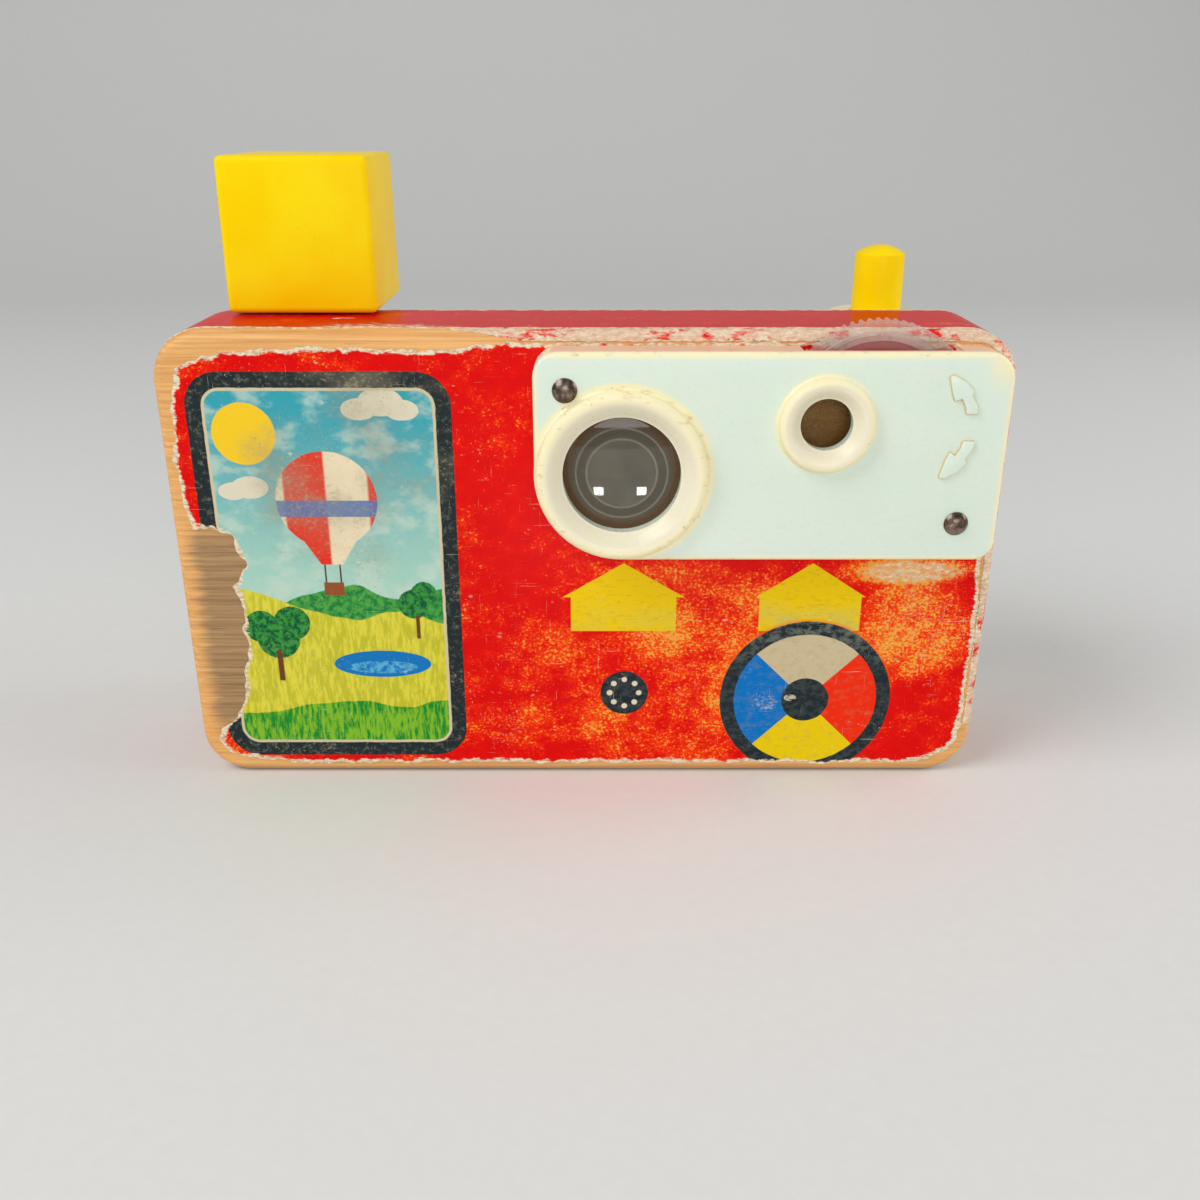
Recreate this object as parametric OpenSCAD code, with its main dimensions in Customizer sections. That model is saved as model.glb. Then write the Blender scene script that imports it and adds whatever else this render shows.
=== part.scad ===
// Toy viewing camera: a hardwood block dressed in printed paper, with a moulded plate,
// a colour wheel, a flash cube and a shutter plunger that index a wheel of pictures.
// X runs to the right as seen from the front, Y to the back and Z up. Sizes are in mm.

/* [Wood block] */
// Width of the wood
body_w = 171; // [166:0.5:182]
// Height of the wood
body_h = 98.3; // [96:0.1:108]
// Thickness of the wood
body_d = 28.5; // [24:0.5:36]
// Radius of the four corners seen from the front
body_corner_r = 10; // [6:0.5:14]
// Radius of the sanded edges
body_edge_r = 2; // [1:0.25:3]
// Thickness of the printed paper
paper_t = 0.25; // [0.15:0.05:0.4]
// Bare wood left round each paper
paper_margin = 2.6; // [2.2:0.1:5]

/* [Front plate] */
// Width of the plate
plate_w = 92.5; // [91:0.5:96]
// Height of the plate
plate_h = 42; // [41:0.5:46]
// Depth of the plate from its rim to its face
plate_d = 7.25; // [6.5:0.25:9]
// Wall of the plate
plate_wall = 1.9; // [1.5:0.1:2.4]
// Radius of the plate's small corners
plate_corner_r = 5; // [3:0.5:6]
// Radius of the plate's moulded front edge
plate_edge_r = 0.8; // [0.4:0.1:1.2]
// Wood showing to the right of the plate
plate_side_gap = 2.9; // [2.4:0.1:6]
// Wood showing above the plate
plate_top_gap = 2.7; // [2.4:0.1:4]

/* [Picture viewer] */
// Viewer axis from the plate's left edge
view_from_left = 17.3; // [17:0.1:19]
// Viewer axis from the plate's lower edge
view_from_bottom = 17.9; // [17.5:0.1:19]
// Outer radius of the large ring
ring_r = 17.2; // [16:0.1:17.5]
// Height of the large ring above the plate
ring_proud = 3; // [2:0.25:4]
// Radius of the clear lens opening
lens_hole_r = 11.7; // [10:0.1:12.5]
// Radius of the lens
lens_r = 12.6; // [12.2:0.1:13.4]
// Thickness of the lens at its rim
lens_rim_t = 1.5; // [1:0.1:2]
// Rise of the lens's front face
lens_front_rise = 1.2; // [0.8:0.1:1.6]
// Rise of the lens's back face
lens_back_rise = 1.6; // [1:0.1:1.9]

/* [Colour viewer] */
// Sight axis from the plate's left edge
sight_from_left = 56.9; // [55:0.1:58]
// Sight axis from the plate's upper edge
sight_from_top = 13.9; // [12.5:0.1:15]
// Outer radius of the small ring
sight_ring_r = 9.35; // [8.5:0.1:9.8]
// Height of the small ring above the plate
sight_proud = 2.5; // [1.5:0.25:3]
// Radius of the small ring's opening
sight_hole_r = 5.1; // [4.5:0.1:5.6]
// Radius of the colour wheel over its ridges
wheel_r = 19.4; // [19:0.1:20]
// Colour wheel's axis to the right of the sight
wheel_offset = 10.3; // [9.8:0.1:11]
// Thickness of the colour wheel's rim
wheel_t = 4.2; // [3.4:0.1:4.4]
// Ridges round the colour wheel
wheel_ridges = 72; // [60:4:84]
// Radius of the colour wheel's pin
wheel_pin_r = 2; // [1.5:0.1:2.5]

/* [Flash cube] */
// Side of the cube
cube_side = 31; // [28:0.5:33]
// Height of the cube
cube_h = 30.85; // [28:0.05:33]
// Radius of the cube's edges
cube_edge_r = 1.6; // [1:0.1:2.4]
// Wall of the cube
cube_wall = 2; // [1.5:0.1:2.5]
// Cube axis from the block's left side
cube_from_left = 26.8; // [25:0.1:29]
// Cube axis behind the block's back face
cube_from_back = 4.8; // [4.7:0.1:5.4]
// Radius of the cube's spindle
spindle_r = 2.5; // [2:0.1:2.7]

/* [Shutter button] */
// Radius of the button
button_r = 5.5; // [5:0.1:6]
// Top of the button above the block
button_stand = 12.4; // [11.5:0.1:16]
// Button axis from the block's right side
button_from_right = 20.1; // [19:0.1:22]
// Button axis behind the block's back face
button_from_back = 11.5; // [11.2:0.1:12]
// Radius of the collar
collar_r = 10.5; // [9:0.1:10.6]

/* [Rear cover] */
// Depth of the cover behind the block
cover_d = 22; // [22:0.25:26]
// Wall of the cover
cover_wall = 2; // [1.6:0.1:2.4]
// Wood showing at each side of the cover
cover_side_gap = 4; // [3:0.25:4.5]
// Wood showing above the cover
cover_top_gap = 4.4; // [4:0.1:5]
// Wood showing below the cover
cover_bottom_gap = 4; // [3:0.25:6]
// Outer radius of the picture eyepiece
eyepiece_r = 13; // [12:0.25:15]
// Height of the eyepieces behind the cover
eyepiece_proud = 3.5; // [2:0.25:5]
// Radius of the eyepiece's opening
eyepiece_hole_r = 7; // [6:0.25:7.5]

/* [Picture wheel] */
// Room left below the picture wheel
picture_floor_gap = 9.5; // [8:0.25:12]
// Middle of the pictures in from the wheel's edge
picture_edge = 8; // [7:0.25:9]
// Thickness of the picture wheel
picture_wheel_t = 2; // [1.5:0.1:2.2]

/* [Hidden] */
$fn = 48;

// Fits and cuts
overrun = 1;
run_fit = 0.06;
press_gap = 0.02;
side_gap = 0.3;
free_gap = 0.5;
hull_fn = 32;
cap_fn = 240;

// Frame: the reach to the front and to the back is shared evenly about Y = 0
back_y = body_d + paper_t;
face_y = -paper_t - plate_d;
cover_back_y = back_y + cover_d;
front_reach = ring_proud - face_y;
rear_reach = cover_back_y + eyepiece_proud;
wood_front_y = (front_reach - rear_reach) / 2;

// Places on the plate
plate_right = body_w / 2 - plate_side_gap;
plate_left = plate_right - plate_w;
plate_top = body_h - plate_top_gap;
plate_bottom = plate_top - plate_h;
plate_inner_y = face_y + plate_wall;
view_x = plate_left + view_from_left;
view_z = plate_bottom + view_from_bottom;
sight_x = plate_left + sight_from_left;
sight_z = plate_top - sight_from_top;
wheel_x = sight_x + wheel_offset;
wheel_z = sight_z;

// Nails: dome heads on the plate and on the cover
nail_head_r = 2.45;
nail_head_h = 1.3;
nail_r = 1;
nail_len = 16;
cover_nail_len = 32;
nail_post_r = 3;
plate_nail_in = 6.2;
plate_nail_down = 7.3;
plate_nail_up = 7.9;
plate_nail_back = 8.3;
plate_nails_at = [
    [plate_left + plate_nail_in, plate_top - plate_nail_down],
    [plate_right - plate_nail_back, plate_bottom + plate_nail_up]
];

// Large ring, small ring and the tube behind the lens
ring_rim_r = 1.3;
ring_land = 0.6;
sight_rim_r = 1;
seat_wall = 1.3;
tube_wall = 0.8;
tube_r = lens_r - seat_wall - tube_wall;
tube_flange_y = plate_inner_y + lens_rim_t + press_gap;
bore_gap = 0.1;
sight_bore_r = sight_hole_r + bore_gap;

// Colour wheel
wheel_mid_y = (plate_inner_y - paper_t) / 2;
ridge_depth = 0.5;
wheel_rim_w = 1.9;
wheel_web_t = 1.4;
wheel_ring_r = 16.4;
wheel_ring_w = 0.9;
wheel_ring_rise = 0.4;
wheel_hub_r = 3.8;
gel_t = 0.2;
gel_edge_gap = 0.3;
gel_gap_angle = 1.5;
gel_angle = 90;
wheel_pin_depth = 11;
wheel_slot_gap = 2;

// Flash cube and its spindle
cube_x = cube_from_left - body_w / 2;
cube_y = body_d + cube_from_back;
cube_lift = 0.4;
cube_z = body_h + paper_t + cube_lift;
cube_draft = 0.25;
cube_base_t = 2.4;
cube_hub_r = 5;
cube_hub_h = 12;

// Rear cover
cover_left = cover_side_gap - body_w / 2;
cover_right = -cover_left;
cover_top = body_h - cover_top_gap;
cover_bottom = cover_bottom_gap;
cover_corner_r = 8;
cover_edge_r = 2;
cover_inner_y = cover_back_y - cover_wall;
cover_nail_in = 6;
cover_nails_at = [
    for (x = [cover_left + cover_nail_in, cover_right - cover_nail_in])
        for (z = [cover_bottom + cover_nail_in, cover_top - cover_nail_in])
            [x, z]
];
cover_post_r = 3.2;
eyepiece_rim_r = 1.2;
eyepiece_lens_r = eyepiece_hole_r + seat_wall;
eyepiece_lens_t = 1.2;
eyepiece_lens_rise = 1;
eyepiece_seat_d = 3;
sight_tube_wall = 1.2;
sight_eyepiece_r = sight_hole_r + sight_tube_wall + ring_proud;

// Toothed drive: both pinions share the module of the bar's racks
tooth_module = 1;
cube_teeth = 12;
cube_turn = 90;
pictures = 8;
disc_teeth = cube_teeth * cube_turn * pictures / 360;
pressure_angle = 20;
tooth_backlash = 0.4;
tooth_tip_share = 0.7;
tooth_root_share = 0.95;
tooth_tip = tooth_tip_share * tooth_module;
tooth_root = tooth_root_share * tooth_module;
tooth_pitch = PI * tooth_module;
cube_pitch_r = cube_teeth * tooth_module / 2;
disc_pitch_r = disc_teeth * tooth_module / 2;
stroke = cube_pitch_r * cube_turn * PI / 180;
disc_turn = stroke / disc_pitch_r * 180 / PI;

// Reach of the cube's bracket towards the picture wheel
star_blade_r = 5.3;
star_detent_len = 10;
star_detent_r = sqrt(pow(star_blade_r, 2) + pow(star_detent_len, 2));
bracket_arm_half = 3;
picture_side_gap = 1.5;

// Picture wheel: as large as the room below the viewer and beside the cube's bracket allows
disc_x = view_x;
floor_room = view_z - cover_bottom - cover_wall - picture_floor_gap;
bracket_room = disc_x - cube_x - star_detent_r - bracket_arm_half - picture_side_gap;
picture_wheel_r = min((floor_room + picture_edge) / 2, bracket_room);
picture_ring_r = picture_wheel_r - picture_edge;

// Along the picture wheel's axle, from front to back
disc_z = view_z - picture_ring_r;
disc_gap = 1.2;
disc_y = back_y + disc_gap;
film_t = 0.2;
film_w = 11;
window_share = 0.84;
window_h = 9.5;
window_w = window_share * 2 * (picture_ring_r - window_h / 2) * sin(180 / pictures);
axle_r = 2;
axle_depth = 12;
film_inner_r = picture_ring_r - film_w / 2;
ratchet_tip_share = 0.65;
ratchet_root_share = 0.78;
ratchet_tip_r = ratchet_tip_share * film_inner_r;
ratchet_root_r = ratchet_root_share * ratchet_tip_r;
ratchet_t = 3;
ratchet_y = disc_y + picture_wheel_t;
flange_t = 1.4;
disc_flange_y = ratchet_y + ratchet_t + side_gap;
disc_gear_y = disc_flange_y + flange_t;
disc_gear_t = 4.2;
clip_y = disc_gear_y + disc_gear_t + side_gap;
clip_t = 2;
clip_r = 4;

// Pawls and detents: a spring blade held by its eye on a post
blade_t = 1;
blade_gap = 0.15;
blade_w = 2.2;
post_r = 1.1;
eye_wall = 0.7;
disc_blade_r = (ratchet_tip_r + ratchet_root_r) / 2;
disc_blade_len = 10;
disc_detent_len = 16;
disc_pawl_angle = 0;
disc_detent_angle = -135;
disc_post_r = sqrt(pow(disc_blade_r, 2) + pow(disc_blade_len, 2));
disc_flange_r = disc_post_r + post_r + eye_wall;
star_tip_r = 6.2;
star_root_r = 4.3;
star_t = 2.6;
star_blade_len = 6;
star_angle = -62;
star_post_r = sqrt(pow(star_blade_r, 2) + pow(star_blade_len, 2));
cube_flange_r = star_post_r + post_r + eye_wall;
slope_steps = 5;

// Slide bar: a rack on its underside for the picture wheel and one on its front for the cube
bar_back_h = 2.8;
rack_z = disc_z + disc_pitch_r;
bar_bottom = rack_z - tooth_tip;
bar_root_z = rack_z + tooth_root;
bar_top = bar_root_z + bar_back_h;
rack_y = cube_y + cube_pitch_r;
bar_back_w = 2.8;
bar_root_y = rack_y + tooth_root;
bar_back_y = bar_root_y + bar_back_w;
bar_front_y = disc_gear_y + side_gap;
mesh_reach = 2 * tooth_pitch;
bar_left = cube_x - mesh_reach - stroke;
rack_right = disc_x + mesh_reach + tooth_pitch;

// Plunger: the button's stem is slotted over the bar's cam plate, and a pin runs in the cam slot
button_x = body_w / 2 - button_from_right;
button_y = body_d + button_from_back;
button_top = body_h + button_stand;
button_dome_h = 2.2;
button_shoulder_r = 1.1;
button_draft = 0.1;
collar_h = 2.5;
collar_top = cover_top + collar_h;
collar_tube_r = 7;
collar_tube_len = 3.6;
collar_edge_r = 0.5;
collar_bottom = cover_top - cover_wall - collar_tube_len;
stem_flange_r = 6.2;
stem_flange_t = 1.6;
stem_r = 3.6;
stem_flange_top = collar_bottom - side_gap;
cam_pin_r = 1.5;
cam_wall = 1.9;
cam_t = 3;
cam_z = bar_top - cam_pin_r - run_fit;
cam_round_r = cam_pin_r + run_fit + cam_wall;
stem_bottom = cam_z - cam_pin_r - cam_wall;
stem_slot_top = cam_z + stroke + cam_round_r;
shelf_t = 2.5;
shelf_z = cam_z + cam_round_r + free_gap;
shelf_top = shelf_z + shelf_t;
shelf_half = 7;
shelf_front_y = button_y - shelf_half;

// Return spring round the stem
spring_wire_r = 0.45;
spring_turns = 7;
spring_ring_steps = 12;
spring_sides = 6;
spring_r = stem_r + 2 * spring_wire_r + 2 * side_gap;
spring_bottom = shelf_top + spring_wire_r + run_fit;
spring_top = stem_flange_top - stem_flange_t - spring_wire_r - run_fit;

// Guides for the bar, moulded inside the cover
guide_wall = 2;
guide_len = 5;
left_guide_x = cube_x + mesh_reach + stroke + guide_len;
right_guide_x = button_x - stroke - 2 * cam_round_r - guide_len;

// Cube drive, from the bracket up along the spindle
pinion_z = bar_bottom + side_gap;
pinion_t = bar_top - bar_bottom - side_gap;
cube_flange_z = pinion_z + pinion_t;
star_z = cube_flange_z + flange_t + side_gap;
bracket_t = 3;
bracket_top = pinion_z - side_gap;
bracket_leg_h = 12;
bracket_leg_t = 2;
bracket_half = 8;
bush_r = 4.2;
bush_step_r = 3.6;
bush_z = cover_top - cover_wall - flange_t;
bush_top = cube_z - side_gap;
pocket_r = cube_flange_r + 2 * post_r + eye_wall;
pocket_z = (bracket_top + star_z + star_t) / 2;
pocket_depth = cube_flange_r + free_gap - cube_from_back;

// Where a joint sits and how far it goes
echo(wood_front_y = wood_front_y, cube = [cube_x, cube_y + wood_front_y], disc = [disc_x, disc_z]);
echo(wheel = [wheel_x, wheel_mid_y + wood_front_y, wheel_z], button = [button_x, button_y + wood_front_y]);
echo(stroke = stroke, disc_turn = disc_turn, spring_bottom = spring_bottom, spring_top = spring_top);

// Measures along Y from the front of the wood
module from_front() {
    translate([0, wood_front_y, 0]) children();
}

// A flat outline in X and Z, given depth from y0 to y1
module upright(y0, y1) {
    translate([0, y1, 0]) rotate([90, 0, 0]) linear_extrude(y1 - y0) children();
}

// A rod along Y
module rod_y(at, y0, y1, r) {
    translate([at[0], y1, at[1]]) rotate([90, 0, 0]) cylinder(r = r, h = y1 - y0);
}

// A profile of radius and height, revolved about an axis along Y; heights run to the front from y
module turned_front(at, y) {
    translate([at[0], y, at[1]]) rotate([90, 0, 0]) rotate_extrude() children();
}

// The same with heights to the back
module turned_back(at, y) {
    translate([at[0], y, at[1]]) rotate([-90, 0, 0]) rotate_extrude() children();
}

// A rectangle with a radius of its own at each corner: lower left, lower right, upper right, upper left
module rounded_outline(x0, z0, x1, z1, radii) {
    difference() {
        translate([x0, z0]) square([x1 - x0, z1 - z0]);
        corner_cut(x0, z0, radii[0], 0);
        corner_cut(x1, z0, radii[1], 90);
        corner_cut(x1, z1, radii[2], 180);
        corner_cut(x0, z1, radii[3], 270);
    }
}

module corner_cut(x, z, r, turn) {
    translate([x, z]) rotate(turn) difference() {
        translate([-overrun, -overrun]) square(r + overrun);
        translate([r, r]) circle(r);
    }
}

// A disc along +Y whose far edge is rounded by edge, and whose near edge by near
module puck(r, depth, edge, near) {
    rotate([-90, 0, 0]) rotate_extrude($fn = hull_fn) {
        square([r - edge, depth]);
        translate([0, near]) square([r, depth - edge - near]);
        translate([r - edge, depth - edge]) circle(edge, $fn = hull_fn);
        if (near > 0) translate([r - near, near]) circle(near, $fn = hull_fn);
    }
}

// The four pucks at the corners of a block, for a hull
module corner_pucks(x0, z0, x1, z1, depth, radii, edge, near) {
    translate([x0 + radii[0], 0, z0 + radii[0]]) puck(radii[0], depth, edge, near);
    translate([x1 - radii[1], 0, z0 + radii[1]]) puck(radii[1], depth, edge, near);
    translate([x1 - radii[2], 0, z1 - radii[2]]) puck(radii[2], depth, edge, near);
    translate([x0 + radii[3], 0, z1 - radii[3]]) puck(radii[3], depth, edge, near);
}

function same_corners(r) = [r, r, r, r];

function polar(r, a) = [r * cos(a), r * sin(a)];

// Involute teeth: half the angle that a tooth takes up at radius r
function involute(a) = tan(a) - a * PI / 180;

function tooth_half_angle(r, pitch_r) =
    let (base_r = pitch_r * cos(pressure_angle))
    let (half = (tooth_pitch / 2 - tooth_backlash) / (2 * pitch_r))
    (half + involute(pressure_angle) - involute(acos(base_r / max(r, base_r)))) * 180 / PI;

// A pinion with one tooth centred at the angle first
module pinion_outline(teeth, first) {
    pitch_r = teeth * tooth_module / 2;
    base_r = pitch_r * cos(pressure_angle);
    radii = [pitch_r - tooth_root, base_r, pitch_r, pitch_r + tooth_tip];
    last = len(radii) - 1;
    polygon([
        for (k = [0 : teeth - 1])
            for (i = [0 : 2 * last + 1])
                let (r = i > last ? radii[2 * last + 1 - i] : radii[i])
                let (side = i > last ? 1 : -1)
                polar(r, first + 360 * k / teeth + side * tooth_half_angle(r, pitch_r))
    ]);
}

// A straight rack with its tips towards -y, a space centred on x = 0, and a back behind its roots
module rack_outline(x0, x1, back) {
    half = (tooth_pitch / 2 - tooth_backlash) / 2;
    root_half = half + tooth_root * tan(pressure_angle);
    tip_half = half - tooth_tip * tan(pressure_angle);
    translate([x0, tooth_root]) square([x1 - x0, back]);
    for (k = [ceil((x0 + root_half) / tooth_pitch - 1 / 2) : floor((x1 - root_half) / tooth_pitch - 1 / 2)])
        translate([(k + 1 / 2) * tooth_pitch, 0])
            polygon([
                [-root_half, tooth_root + overrun], [-root_half, tooth_root], [-tip_half, -tooth_tip],
                [tip_half, -tooth_tip], [root_half, tooth_root], [root_half, tooth_root + overrun]
            ]);
}

// A ratchet whose steep faces push back against a clockwise pawl; the first face is at angle first
module ratchet_outline(teeth, tip_r, root_r, first) {
    pitch = 360 / teeth;
    polygon([
        for (k = [0 : teeth - 1])
            for (i = [0 : slope_steps])
                polar(root_r + (tip_r - root_r) * i / slope_steps, first + pitch * (k + i / slope_steps))
    ]);
}

// A spring blade that pushes clockwise on the steep face at angle turn, with an eye on its post
module blade_outline(mid_r, length, turn) {
    rotate(turn) {
        difference() {
            union() {
                translate([mid_r - blade_t / 2, blade_gap]) square([blade_t, length - blade_gap]);
                translate([mid_r, length]) circle(post_r + eye_wall);
            }
            translate([mid_r, length]) circle(post_r + press_gap);
        }
    }
}

module blade_post_outline(mid_r, length, turn) {
    rotate(turn) translate([mid_r, length]) circle(post_r);
}

// A domed nail with its head at y and its shank towards +Y
module nail_front(at, y) {
    rod_y(at, y - press_gap, y + nail_len, nail_r);
    turned_front(at, y) nail_head_profile();
}

module nail_head_profile() {
    dome_r = (pow(nail_head_r, 2) + pow(nail_head_h, 2)) / (2 * nail_head_h);
    intersection() {
        translate([0, nail_head_h - dome_r]) circle(dome_r);
        square([nail_head_r, nail_head_h]);
    }
}

// The wood block, bored for both viewers and pocketed at the back for the cube's clutch
module wood_body() {
    color("burlywood") from_front() difference() {
        hull()
            corner_pucks(-body_w / 2, 0, body_w / 2, body_h, body_d, same_corners(body_corner_r),
                body_edge_r, body_edge_r);
        rod_y([view_x, view_z], -overrun, body_d + overrun, tube_r + bore_gap);
        rod_y([sight_x, sight_z], -overrun, body_d + overrun, sight_bore_r);
        rod_y([wheel_x, wheel_z], -overrun, wheel_pin_depth, wheel_pin_r + press_gap);
        rod_y([disc_x, disc_z], body_d - axle_depth, body_d + overrun, axle_r + press_gap);
        for (at = plate_nails_at)
            rod_y(at, -overrun, face_y + nail_len + press_gap, nail_r + press_gap);
        for (at = cover_nails_at)
            rod_y(at, cover_back_y - cover_nail_len - press_gap, body_d + overrun, nail_r + press_gap);
        rod_y([cube_x, pocket_z], body_d - pocket_depth, body_d + overrun, pocket_r);
    }
}

// Holes that every sheet of paper shares with the wood
module front_holes() {
    translate([view_x, view_z]) circle(tube_r + bore_gap);
    translate([sight_x, sight_z]) circle(sight_bore_r);
    translate([wheel_x, wheel_z]) circle(wheel_pin_r + press_gap);
    for (at = plate_nails_at)
        translate(at) circle(nail_r + press_gap);
}

module sheet_outline() {
    rounded_outline(paper_margin - body_w / 2, paper_margin, body_w / 2 - paper_margin, body_h - paper_margin,
        same_corners(body_corner_r - paper_margin));
}

module front_litho() {
    color("red") from_front() upright(-paper_t, 0) difference() {
        sheet_outline();
        front_holes();
    }
}

module back_litho() {
    color("firebrick") from_front() upright(body_d, back_y) difference() {
        sheet_outline();
        translate([view_x, view_z]) circle(tube_r + bore_gap);
        translate([sight_x, sight_z]) circle(sight_bore_r);
        translate([disc_x, disc_z]) circle(axle_r + press_gap);
        translate([cube_x, pocket_z]) circle(pocket_r);
        for (at = cover_nails_at)
            translate(at) circle(nail_r + press_gap);
    }
}

// The band of paper over the top and down both sides
module edge_litho() {
    band_w = body_w / 2 + paper_t;
    outer_r = body_corner_r + paper_t;
    color("red") from_front() upright(paper_margin, body_d - paper_margin) difference() {
        rounded_outline(-band_w, body_corner_r, band_w, body_h + paper_t, [0, 0, outer_r, outer_r]);
        translate([0, -overrun])
            rounded_outline(-body_w / 2, 0, body_w / 2, body_h + overrun,
                [0, 0, body_corner_r, body_corner_r]);
    }
}

// The moulded plate: a shallow shell with two rings, open at the top where the wheel comes out
module front_plate() {
    left_r = view_from_left;
    radii = [left_r, plate_corner_r, plate_corner_r, plate_corner_r];
    inner_radii = [for (r = radii) r - plate_wall];
    slot_half = sqrt(pow(wheel_r, 2) - pow(plate_top - wheel_z, 2)) + wheel_slot_gap;
    color("honeydew") from_front() difference() {
        union() {
            difference() {
                translate([0, -paper_t, 0]) mirror([0, 1, 0]) hull()
                    corner_pucks(plate_left, plate_bottom, plate_right, plate_top, plate_d, radii,
                        plate_edge_r, 0);
                upright(plate_inner_y, overrun)
                    rounded_outline(plate_left + plate_wall, plate_bottom + plate_wall,
                        plate_right - plate_wall, plate_top - plate_wall, inner_radii);
            }
            turned_front([view_x, view_z], face_y)
                ring_profile(lens_hole_r, ring_r, ring_proud, ring_rim_r);
            turned_front([sight_x, sight_z], face_y)
                ring_profile(sight_hole_r, sight_ring_r, sight_proud, sight_rim_r);
            rod_y([view_x, view_z], plate_inner_y - press_gap, -paper_t, lens_r + seat_wall);
            for (at = plate_nails_at)
                rod_y(at, plate_inner_y - press_gap, -paper_t, nail_post_r);
        }
        rod_y([view_x, view_z], face_y - overrun, overrun, lens_hole_r);
        rod_y([view_x, view_z], plate_inner_y, overrun, lens_r + bore_gap);
        rod_y([sight_x, sight_z], face_y - overrun, overrun, sight_hole_r);
        for (at = plate_nails_at)
            rod_y(at, face_y - overrun, overrun, nail_r + press_gap);
        translate([wheel_x - slot_half, plate_inner_y, plate_top - plate_wall - overrun])
            cube([2 * slot_half, plate_d, plate_wall + 2 * overrun]);
    }
}

// A rounded rim with a dish that runs in to the opening
module ring_profile(hole_r, outer_r, proud, rim_r) {
    translate([outer_r - rim_r, proud - rim_r]) circle(rim_r);
    polygon([
        [hole_r, -plate_wall], [outer_r, -plate_wall], [outer_r, proud - rim_r], [outer_r - rim_r, proud],
        [outer_r - rim_r - ring_land, proud], [hole_r, ring_land]
    ]);
}

module plate_nails() {
    color("dimgray") from_front()
        for (at = plate_nails_at)
            nail_front(at, face_y);
}

// A cap of the given rise on a disc of radius r
module cap_profile(r, rise) {
    cap_r = (r * r + rise * rise) / (2 * rise);
    intersection() {
        translate([0, rise - cap_r]) circle(cap_r, $fn = cap_fn);
        square([r, rise]);
    }
}

module picture_lens() {
    clear_r = lens_hole_r - bore_gap;
    color("lightgray", 0.5) from_front() {
        rod_y([view_x, view_z], plate_inner_y, plate_inner_y + lens_rim_t, lens_r);
        turned_front([view_x, view_z], plate_inner_y) cap_profile(clear_r, lens_front_rise);
        turned_back([view_x, view_z], plate_inner_y + lens_rim_t)
            cap_profile(tube_r - tube_wall, lens_back_rise);
    }
}

// The dark tube that holds the lens in its seat and lines the bore
module light_tube() {
    color("saddlebrown") from_front() difference() {
        union() {
            rod_y([view_x, view_z], tube_flange_y, -paper_t - press_gap, lens_r);
            rod_y([view_x, view_z], tube_flange_y, body_d, tube_r);
        }
        rod_y([view_x, view_z], tube_flange_y - overrun, body_d + overrun, tube_r - tube_wall);
    }
}

// Ridged edge: each ridge is a flat-topped tooth
module ridged_outline() {
    ridge_shares = [[0, 0], [0.25, 1], [0.5, 1], [0.75, 0]];
    polygon([
        for (k = [0 : wheel_ridges - 1])
            for (share = ridge_shares)
                polar(wheel_r - ridge_depth + ridge_depth * share[1], 360 * (k + share[0]) / wheel_ridges)
    ]);
}

module color_wheel() {
    rim_inner = wheel_r - wheel_rim_w;
    web_front = wheel_mid_y - wheel_web_t / 2;
    color("mistyrose", 0.7) from_front() difference() {
        union() {
            translate([wheel_x, 0, wheel_z]) upright(wheel_mid_y - wheel_t / 2, wheel_mid_y + wheel_t / 2)
                difference() {
                    ridged_outline();
                    circle(rim_inner);
                }
            rod_y([wheel_x, wheel_z], web_front, web_front + wheel_web_t, rim_inner + press_gap);
            rod_y([wheel_x, wheel_z], wheel_mid_y - wheel_t / 2, wheel_mid_y + wheel_t / 2, wheel_hub_r);
            difference() {
                rod_y([wheel_x, wheel_z], web_front - wheel_ring_rise, web_front + press_gap, wheel_ring_r);
                rod_y([wheel_x, wheel_z], web_front - overrun, wheel_mid_y, wheel_ring_r - wheel_ring_w);
            }
        }
        rod_y([wheel_x, wheel_z], wheel_mid_y - wheel_t, wheel_mid_y + wheel_t, wheel_pin_r + run_fit);
    }
}

// One quarter filter behind the web, centred at the angle turn as seen from the front
module gel(turn) {
    gel_inner = wheel_hub_r + gel_edge_gap;
    gel_outer = wheel_ring_r - gel_edge_gap;
    gel_y = wheel_mid_y + wheel_web_t / 2;
    sweep = gel_angle - gel_gap_angle;
    from_front() translate([wheel_x, gel_y + gel_t, wheel_z]) rotate([90, 0, 0])
        rotate([0, 0, turn - sweep / 2]) rotate_extrude(angle = sweep)
            translate([gel_inner, 0]) square([gel_outer - gel_inner, gel_t]);
}

module gel_yellow() {
    color("gold", 0.6) gel(2 * gel_angle);
}

module gel_red() {
    color("crimson", 0.6) gel(gel_angle);
}

module gel_clear() {
    color("white", 0.4) gel(0);
}

module gel_blue() {
    color("royalblue", 0.6) gel(3 * gel_angle);
}

module wheel_pin() {
    color("silver") from_front()
        rod_y([wheel_x, wheel_z], plate_inner_y, wheel_pin_depth, wheel_pin_r);
}

// The hollow cube: drafted a little to its top, open below for its base
module flash_cube() {
    inner = cube_side - 2 * cube_wall;
    color("gold") from_front() translate([cube_x, cube_y, cube_z]) difference() {
        hull() {
            for (x = [-1, 1], y = [-1, 1]) {
                corner = cube_side / 2 - cube_edge_r;
                translate([x * corner, y * corner, cube_edge_r]) sphere(cube_edge_r, $fn = hull_fn);
                translate([x * (corner - cube_draft), y * (corner - cube_draft), cube_h - cube_edge_r])
                    sphere(cube_edge_r, $fn = hull_fn);
            }
        }
        translate([-inner / 2, -inner / 2, -overrun]) cube([inner, inner, cube_h - cube_wall + overrun]);
    }
}

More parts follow.
